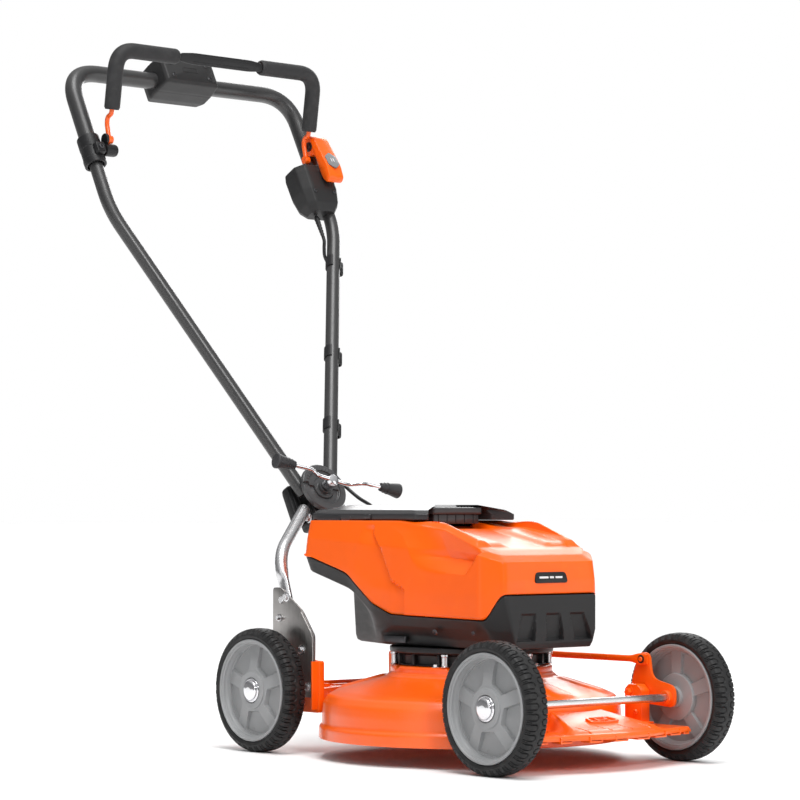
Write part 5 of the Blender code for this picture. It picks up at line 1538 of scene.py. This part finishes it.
# ---------------------------------------------------------------- handle pivot and clamp
class MOWER_OT_handle_pivot(PieceOperator, bpy.types.Operator):
    """Build the pivot bracket, the stepped clamp disc and the zig-zag T-handle"""

    bl_idname = "mower.handle_pivot"
    bl_label = "Handle pivot"

    def build(self):
        bracket = [
            block((0.0515, 0.0395, 0.0435), 0.006, 0.002).at(HANDLE @ shift(0, -0.0355, -0.0345)),
            block((0.0895, 0.0695, 0.0158), 0.012, 0.002).at(HANDLE @ shift(0, -0.010, -0.0475)),
        ]
        for side in (-1, 1):
            bracket.append(
                block((0.012, 0.0560, 0.0030), 0.003, 0.0008).at(
                    HANDLE @ shift(side * 0.0330, -0.0100, -0.0386)
                )
            )
            bracket.append(
                block((0.0030, 0.0300, 0.0330), 0.001, 0.0008).at(
                    HANDLE @ shift(side * 0.0262, -0.0360, -0.0340)
                )
            )
        piece("pivot_casting", together(bracket), "deck", "black_plastic", ("pivot_bracket",))
        bolts = [
            hex_bolt(0.0060, 0.005).at(aimed(on_handle(side * 0.0275, -0.0400, -0.0300), (side, 0, 0)))
            for side in (-1, 1)
        ]
        bolts += [
            hex_bolt(0.0050, 0.004).at(HANDLE @ shift(side * 0.0170, -0.0480, -0.0128))
            for side in (-1, 1)
        ]
        piece("pivot_bolts", together(bolts), "deck", "bright_steel")
        self.disc()
        rod = handle_points([
            (-0.118, 0.0270, 0.037), (-0.050, 0.0125, 0.037), (-0.028, 0.0080, 0.023),
            (0.028, -0.0080, 0.023),
            (0.050, -0.0125, 0.037), (0.118, -0.0270, 0.037),
        ])
        lever = sweep(spaced(curved(rod, 0.009, 8), 140), 0.0036, 24, up=ALONG)
        hub = revolve(
            [
                (0.0060, 0.0052), (0.0092, 0.0060), (0.0095, 0.0075), (0.0095, 0.0240), (0.0088, 0.0262),
                (0.0060, 0.0274), (0.0030, 0.0277),
            ],
            48,
        ).at(HANDLE)
        piece("zigzag_handle", lever + hub, "clamp_handle", "chrome", ("t_handle",), 40)
        for hand, side in SIDES.items():
            end, start = rod[0 if side < 0 else -1], rod[1 if side < 0 else -2]
            axis = unit(end - start)
            profile = curved(
                [
                    (0.0058, -0.0375), (0.0068, -0.0370), (0.0072, -0.0340), (0.0090, -0.0220),
                    (0.0122, -0.0035), (0.0124, -0.0016), (0.0110, 0.0), (0.0030, 0.0006),
                ],
                0.0015, 4,
            )
            knob = revolve(profile, 40) + together(
                revolve(
                    [(r, z), (r + 0.0009, z + 0.0006), (r + 0.0009, z + 0.0016), (r, z + 0.0022)], 40,
                    looped=True,
                ) for r,
                z in ((0.0076, -0.0310), (0.0086, -0.0250))
            )
            piece(
                f"cone_knob_{hand}", knob.at(aimed(end, axis)), "clamp_handle", "knob_rubber",
                (f"t_grip_{hand}",),
            )

    def disc(self):
        """A height over a round plan: outer rim, a floor stepped down below, a slot and a raised centre."""
        radius = np.concatenate([[0.0415, 0.0417], np.linspace(0.0412, 0.0060, 74)])
        turn = np.linspace(0, 2 * np.pi, 288, endpoint=False)
        r, t = radius[:, None], turn[None, :]
        rim = 1 - rise(r, 0.0402, 0.0417)
        dish = -0.0022 * (1 - rise(r, 0.0300, 0.0312)) - 0.0012 * (1 - rise(r, 0.0190, 0.0200))
        lower = rise(np.cos(t + np.pi / 2 + 0.15), -0.05, 0.02)
        step = -0.0030 * lower * rise(r, 0.0178, 0.0186) * (1 - rise(r, 0.0285, 0.0293))
        teeth = 0.0008 * (np.cos(t * 36) > 0) * rise(r, 0.0310, 0.0315) * (
            1 - rise(r, 0.0365, 0.0370)
        ) * (1 - lower)
        slot = -0.0030 * (
            1 - rise(np.abs(np.mod(t - np.radians(170) + np.pi, 2 * np.pi) - np.pi) * r, 0.0030, 0.0038)
        ) * rise(r, 0.0290, 0.0300)
        hub = 0.0060 * (1 - rise(r, 0.0110, 0.0125))
        top = -0.0014 + 0.0014 * rim + dish + step + teeth + slot + hub + 0 * t
        face = np.stack([r * np.cos(t), r * np.sin(t), top], -1)
        back = [
            np.column_stack([rr * np.cos(turn), rr * np.sin(turn), np.full(288, zz)]) for rr,
            zz in ((0.0060, -0.0094), (0.0405, -0.0094), (0.0416, -0.0086), (0.0416, -0.0030))
        ]
        disc = grid(np.concatenate([np.array(back), face], 0), looped=True)
        piece("stepped_disc", disc.at(HANDLE), "handle", "disc_paint", ("clamp_disc",), 25)


# ---------------------------------------------------------------- tubes and collar
class MOWER_OT_tubes(PieceOperator, bpy.types.Operator):
    """Build the lower tubes, the upper U tube and the collar"""

    bl_idname = "mower.tubes"
    bl_label = "Handle tubes"

    def build(self):
        for hand, side in SIDES.items():
            path = handle_points(
                [
                    (side * 0.027, 0.0, TUBE_OUT), (side * SPAN, 0.525, TUBE_OUT),
                    (side * SPAN, 0.680, TUBE_OUT),
                ]
            )
            line = spaced(curved(path, 0.034, 16), 120)
            plug = socket_screw(0.0108, 0.0020).at(aimed(path[0], unit(path[0] - path[1])))
            piece(
                f"spread_tube_{hand}", sweep(line, 0.0115, 40, up=OUT) + plug, "handle", "tube_paint",
                (f"lower_tube_{hand}",), 40,
            )
        corners = handle_points(
            [
                (-SPAN, 0.6285, TUBE_OUT), (-SPAN, 0.803, TUBE_OUT), (SPAN, 0.803, TUBE_OUT),
                (SPAN, 0.6285, TUBE_OUT),
            ]
        )
        line = spaced(curved(corners, 0.062, 18), 150)
        outer = sweep(line, 0.0142, 44, up=OUT, capped=(False, False))
        mouths = []
        for end, inner in ((line[0], line[1]), (line[-1], line[-2])):
            mouth = revolve(
                [(0.0119, 0.0), (0.0140, -0.0004), (0.0142, 0.0006), (0.0142, 0.0040), (0.0119, 0.0100)], 44,
                looped=True,
            )
            mouths.append(mouth.at(aimed(end, inner - end)))
        inner_wall = sweep(line, 0.0122, 44, up=OUT, capped=(False, False)).turned_over()
        piece(
            "upper_bow", together([outer, inner_wall] + mouths), "upper_handle", "tube_paint",
            ("upper_tube",), 40,
        )
        matrix = HANDLE @ shift(-SPAN, 0.654, TUBE_OUT) @ UPRIGHT
        sleeve = revolve(curved([
            (0.0147, -0.0420), (0.0180, -0.0420), (0.0186, -0.0412), (0.0190, -0.0330), (0.0190, -0.0300),
            (0.0183, -0.0292),
            (0.0183, -0.0110), (0.0190, -0.0102), (0.0190, 0.0100), (0.0184, 0.0120), (0.0147, 0.0120),
        ], 0.0008, 2, closed=True), 64, looped=True).at(matrix)
        boss = revolve(
            [(0.0078, 0.0), (0.0105, 0.0010), (0.0105, 0.0200), (0.0094, 0.0232), (0.0060, 0.0236)], 40,
        ).at(aimed(on_handle(-0.2205, 0.638, -0.012), (1, 0, 0)))
        nib = block((0.0165, 0.0200, 0.0120), 0.003, 0.0012).at(
            HANDLE @ shift(-SPAN, 0.6330, TUBE_OUT + 0.0215)
        )
        bolt = socket_screw(0.0046, 0.0024).at(HANDLE @ shift(-SPAN, 0.6330, TUBE_OUT + 0.0276))
        ear = revolve(
            [(0.0092, 0.0), (0.0098, 0.0008), (0.0098, 0.0040), (0.0080, 0.0052)], 36,
        ).at(aimed(on_handle(-SPAN + 0.0175, 0.654, -0.0040), (1, 0, 0)))
        piece(
            "clamp_collar", together([sleeve, boss, nib, ear]), "upper_handle", "black_plastic",
            ("collar_right",),
        )
        piece("collar_screws", bolt, "upper_handle", "dark_screw")


UPRIGHT = np.array([[1, 0, 0, 0], [0, 0, 1, 0], [0, -1, 0, 0], [0, 0, 0, 1]], float)


# ---------------------------------------------------------------- controls
class MOWER_OT_controls(PieceOperator, bpy.types.Operator):
    """Build the switch box, start lever, badge, strain relief, control housing and power button"""

    bl_idname = "mower.controls"
    bl_label = "Controls"

    def build(self):
        self.switch()
        self.lever()
        self.panel()

    def switch(self):
        """A faceted box: rings of corners up the handle, drawn in at the foot, with a chamfered front."""
        levels = []
        middle = 0.2158
        for along, half, front, back in (
            (0.5500, 0.0250, -0.0050, -0.0350), (0.5512, 0.0262, -0.0038, -0.0362),
            (0.5640, 0.0350, 0.0040, -0.0430), (0.5900, 0.0392, 0.0082, -0.0465),
            (0.6250, 0.0395, 0.0085, -0.0470), (0.6375, 0.0372, 0.0060, -0.0450),
            (0.6386, 0.0360, 0.0048, -0.0438),
        ):
            bevel = 0.010 * half / 0.0395
            ring = [
                (half, along, back + bevel), (half, along, front - bevel * 1.6), (half - bevel, along, front),
                (-half + bevel * 1.4, along, front + 0.0),
                (-half, along, front - bevel * 1.4), (-half, along, back + bevel),
                (-half + bevel, along, back), (half - bevel, along, back),
            ]
            levels.append([(middle + x, a, o) for x, a, o in ring])
        points = net(levels, [10] * 8, [2, 8, 12, 16, 8, 2], 1, 1)
        form = grid(handle_points(points), capped=(True, True)).turned_over()
        screws = [
            socket_screw(0.0034, 0.0018).at(HANDLE @ shift(middle + x, along, 0.0072)) for x,
            along in ((0.022, 0.583), (-0.020, 0.583), (0.026, 0.626))
        ]
        piece("switch_case", form, "upper_handle", "dark_plastic", ("switch_box",), 20)
        piece("switch_screws", together(screws), "upper_handle", "dark_screw")
        relief = [
            revolve(
                [(0.0030, 0.0)] + [
                    (0.0052 - 0.0016 * k / 12 - 0.0007 * (k % 2), 0.0030 * k + 0.0006)
                    for k in range(1, 14)
                ] + [(0.0031, 0.0425)],
                28
            )
        ]
        piece(
            "cable_boot", together(relief).at(aimed(on_handle(0.206, 0.5487, -0.023), -ALONG)),
            "upper_handle", "cable_rubber", ("strain_relief",),
        )

    def lever(self):
        """The start lever: a slab cut to its side outline, a round hub, and a six-sided badge."""
        hub = np.array((0.2182, 0.677, 0.005))
        outline = curved(
            [
                (0.012, 0.000), (0.022, 0.004), (0.010, 0.017), (-0.052, 0.027), (-0.078, 0.024),
                (-0.083, 0.012), (-0.068, 0.0050), (-0.020, 0.0060), (-0.012, -0.010),
            ],
            0.009, 6, closed=True,
        )
        side = np.eye(4)
        side[:3, 0], side[:3, 1], side[:3, 2], side[:3, 3] = ALONG, OUT, (1, 0, 0), on_handle(*hub)
        lever = slab(outline, 0.0, 0.0336, 0.0030)
        barrel = revolve(
            curved(
                [
                    (0.0100, 0.0004), (0.0155, 0.0004), (0.0165, 0.0016), (0.0165, 0.0320), (0.0155, 0.0335),
                    (0.0110, 0.0337), (0.0105, 0.0322), (0.0020, 0.0322),
                ],
                0.0006, 2,
            ),
            56,
        )
        barrel = barrel.at(aimed(on_handle(*hub), (1, 0, 0)))
        piece("start_paddle", lever.at(side) + barrel, "start", "orange_plastic", ("start_lever",), 35)
        pin = hex_bolt(0.0060, 0.003).at(aimed(on_handle(hub[0] + 0.0322, hub[1], hub[2]), (1, 0, 0)))
        pin = pin + hex_bolt(0.0060, 0.003).at(aimed(on_handle(hub[0] + 0.0002, hub[1], hub[2]), (-1, 0, 0)))
        piece("start_pin", pin, "start", "dark_screw")
        six = np.array(
            [(0.0145 * math.cos(t), 0.0185 * math.sin(t)) for t in np.radians(np.arange(30, 390, 60))]
        )
        face = unit(on_handle(0, 0.159, 0.987) - on_handle(0, 0, 0))
        middle = on_handle(hub[0] + 0.0168, hub[1] - 0.044, hub[2] + 0.0262)
        badge = slab(
            curved(six, 0.003, 4, closed=True), -0.0010, 0.0012, 0.0006,
        ).at(aimed(middle, face, ALONG))
        piece("lever_badge", badge, "start", "badge_plastic")
        mark = [
            block((0.0014, 0.0080, 0.0006), 0.0005, 0.0002).at(shift(x, 0, 0.0014))
            for x in (-0.0025, 0.0025)
        ]
        piece(
            "lever_badge_mark", together(mark).at(aimed(middle, face, ALONG)), "start", "white_print",
        )

    def panel(self):
        """The control housing across the top tube, with screw wells, a slot and the round button."""
        middle = HANDLE @ shift(0, 0.809, -0.024)
        levels = []
        for out, half, low, high in (
            (-0.0355, 0.050, -0.022, 0.022), (-0.0350, 0.0520, -0.0240, 0.0240),
            (-0.0200, 0.0585, -0.0275, 0.0275), (0.0050, 0.0588, -0.0278, 0.0278),
            (0.0300, 0.0560, -0.0262, 0.0262), (0.0348, 0.0520, -0.0230, 0.0230),
            (0.0355, 0.0500, -0.0215, 0.0215),
        ):
            levels.append([(half, low, out), (half, high, out), (-half, high, out), (-half, low, out)])
        points = net(levels, [30, 60, 30, 60], [2, 10, 14, 14, 8, 2], 4, 2)
        x, y, z = points[..., 0], points[..., 1], points[..., 2]
        crease = 0.0008 * (1 - rise(np.abs(z - 0.0040), 0.0004, 0.0012))
        points[..., 0] -= np.sign(x) * crease * (np.abs(x) > 0.050)
        points[..., 1] -= np.sign(y) * crease * (np.abs(y) > 0.022)
        box = [grid(points, capped=(True, True))]
        for side in (-1, 1):
            for up in (-1, 1):
                well = revolve(
                    [
                        (0.0052, 0.0345), (0.0056, 0.0359), (0.0050, 0.0361), (0.0036, 0.0359),
                        (0.0034, 0.0345),
                    ],
                    32, looped=True,
                )
                box.append(well.at(shift(side * 0.038, up * 0.0130)))
        slot = np.array([(0.016, 0.005), (-0.016, 0.005), (-0.016, -0.005), (0.016, -0.005)])
        rings = [
            np.column_stack([curved(slot * k, 0.0015, 3, closed=True), np.full(16, h)]) for k,
            h in ((1.0, 0.0345), (1.0, 0.0358), (0.9, 0.0361), (0.84, 0.0358), (0.84, 0.0345))
        ]
        box.append(grid(np.array(rings), looped=True))
        piece(
            "control_case", together(box).at(middle), "upper_handle", "dark_plastic", ("control_housing",),
            30,
        )
        place = node_middle("power_button")
        button = revolve(
            curved(
                [
                    (0.0070, -0.0008), (0.0084, -0.0006), (0.0084, 0.0016), (0.0076, 0.0026),
                    (0.0050, 0.0022), (0.0010, 0.0020),
                ],
                0.0006, 3,
            ),
            40,
        )
        piece(
            "round_button", button.at(aimed(place - ALONG * 0.0008, ALONG)), "button", "knob_rubber",
            ("power_button",),
        )
        screws = [
            socket_screw(0.0030, 0.0012).at(middle @ shift(side * 0.038, up * 0.0130, 0.0350))
            for side in (-1, 1) for up in (-1, 1)
        ]
        piece("control_screws", together(screws), "upper_handle", "dark_screw")


# ---------------------------------------------------------------- bail
class MOWER_OT_bail(PieceOperator, bpy.types.Operator):
    """Build the operator-presence bail: bent wires, foam sleeves and the flat link between them"""

    bl_idname = "mower.bail"
    bl_label = "Bail"

    def build(self):
        climb = unit((0.121, 0.090))
        above = np.array([-climb[1], climb[0]])
        half, top, grip_start, grip_end = 0.2095, 0.150, 0.052, 0.088

        def on_bail(rows):
            rows = np.asarray(rows, float)
            flat = rows[:, 1:2] * climb + rows[:, 2:] * above
            return on_handle(rows[:, 0], 0.654 + flat[:, 0], -0.004 + flat[:, 1])

        for hand, side in SIDES.items():
            rows = [
                (side * half, 0.0, 0.0), (side * half, 0.026, -0.0105), (side * half, 0.037, -0.0105),
                (side * half, 0.043, 0.0), (side * half, grip_start, 0.0),
            ]
            wire = on_bail(rows)
            eye = revolve(
                [(0.0040, -0.0050), (0.0068, -0.0048), (0.0072, 0.0), (0.0068, 0.0048), (0.0040, 0.0050)], 32,
            ).at(aimed(wire[0], (1, 0, 0)))
            frame_wire = sweep(spaced(curved(wire, 0.006, 8), 70), 0.0040, 24, up=(1, 0, 0))
            piece(
                f"bail_stem_{hand}", frame_wire + eye, "bail", "orange_paint",
                ("bail_wire",) if side < 0 else (), 40,
            )
            corners = on_bail(
                [(side * half, grip_start - 0.002, 0.0), (side * half, top, 0.0), (side * grip_end, top, 0.0)]
            )
            line = spaced(curved(corners, 0.034, 18), 110)
            share = np.linspace(0, 1, 110)
            swell = sizes().grip_radius * (0.86 + 0.14 * rise(share, 0.0, 0.02)) * (
                0.86 + 0.14 * rise(1 - share, 0.0, 0.02)
            )
            piece(
                f"foam_sleeve_{hand}", sweep(line, swell, 40, up=above[0] * ALONG + above[1] * OUT), "bail",
                "grip_foam", (f"bail_grip_{hand}",), 50,
            )
        cross = on_bail([(-grip_end - 0.004, top, 0.0), (grip_end + 0.004, top, 0.0)])
        piece("bail_cross_wire", sweep(spaced(cross, 30), 0.0040, 24, up=OUT), "bail", "orange_paint")
        matrix = np.eye(4)
        matrix[0, 0] = 1
        matrix[:3, 1] = climb[0] * ALONG + climb[1] * OUT
        matrix[:3, 2] = above[0] * ALONG + above[1] * OUT
        matrix[:3, 3] = on_bail([(0, top, 0.0072)])[0]
        strap = curved(
            [
                (0.0870, -0.0070), (0.0870, 0.0070), (0.0600, 0.0098), (-0.0600, 0.0098), (-0.0870, 0.0070),
                (-0.0870, -0.0070), (-0.0600, -0.0098), (0.0600, -0.0098),
            ],
            0.006, 5, closed=True,
        )
        link = slab(strap, -0.0024, 0.0024, 0.0010)
        ribs = [
            block((0.118, 0.0020, 0.0008), 0.0008, 0.0002).at(shift(0, y, 0.0026))
            for y in (-0.0055, 0.0055)
        ]
        piece("flat_link", together([link] + ribs).at(matrix), "bail", "black_plastic", ("bail_link",))


# ---------------------------------------------------------------- the panel and the run
PIECES = (
    MOWER_OT_cable, MOWER_OT_wheels, MOWER_OT_running_gear, MOWER_OT_deck, MOWER_OT_cutting_gear,
    MOWER_OT_lower_housing,
    MOWER_OT_upper_housing, MOWER_OT_lid, MOWER_OT_supports, MOWER_OT_handle_pivot, MOWER_OT_tubes,
    MOWER_OT_controls,
    MOWER_OT_bail,
)


class MOWER_PT_panel(bpy.types.Panel):
    """Lists the mower's pieces and their settings"""

    bl_idname = "MOWER_PT_panel"
    bl_label = "Mower"
    bl_space_type = "VIEW_3D"
    bl_region_type = "UI"
    bl_category = "Mower"

    def draw(self, context):
        """Show the settings, then a button for each operator."""
        for settings in (context.scene.mower_colours, context.scene.mower_sizes):
            for name in settings.__annotations__:
                self.layout.prop(settings, name)
        for operator in (MOWER_OT_stage, *PIECES):
            self.layout.operator(operator.bl_idname)


CLASSES = (MowerColours, MowerSizes, MOWER_OT_stage, *PIECES, MOWER_PT_panel)


def register():
    """Register the add-on."""
    for entry in CLASSES:
        bpy.utils.register_class(entry)
    bpy.types.Scene.mower_colours = PointerProperty(type=MowerColours)
    bpy.types.Scene.mower_sizes = PointerProperty(type=MowerSizes)


def unregister():
    """Unregister the add-on."""
    del bpy.types.Scene.mower_sizes
    del bpy.types.Scene.mower_colours
    for entry in reversed(CLASSES):
        bpy.utils.unregister_class(entry)


def main():
    """Build the scene."""
    register()
    for operator in (MOWER_OT_stage, *PIECES):
        group, name = operator.bl_idname.split(".")
        getattr(getattr(bpy.ops, group), name)()
    bpy.context.view_layer.update()


if __name__ == "__main__":
    main()
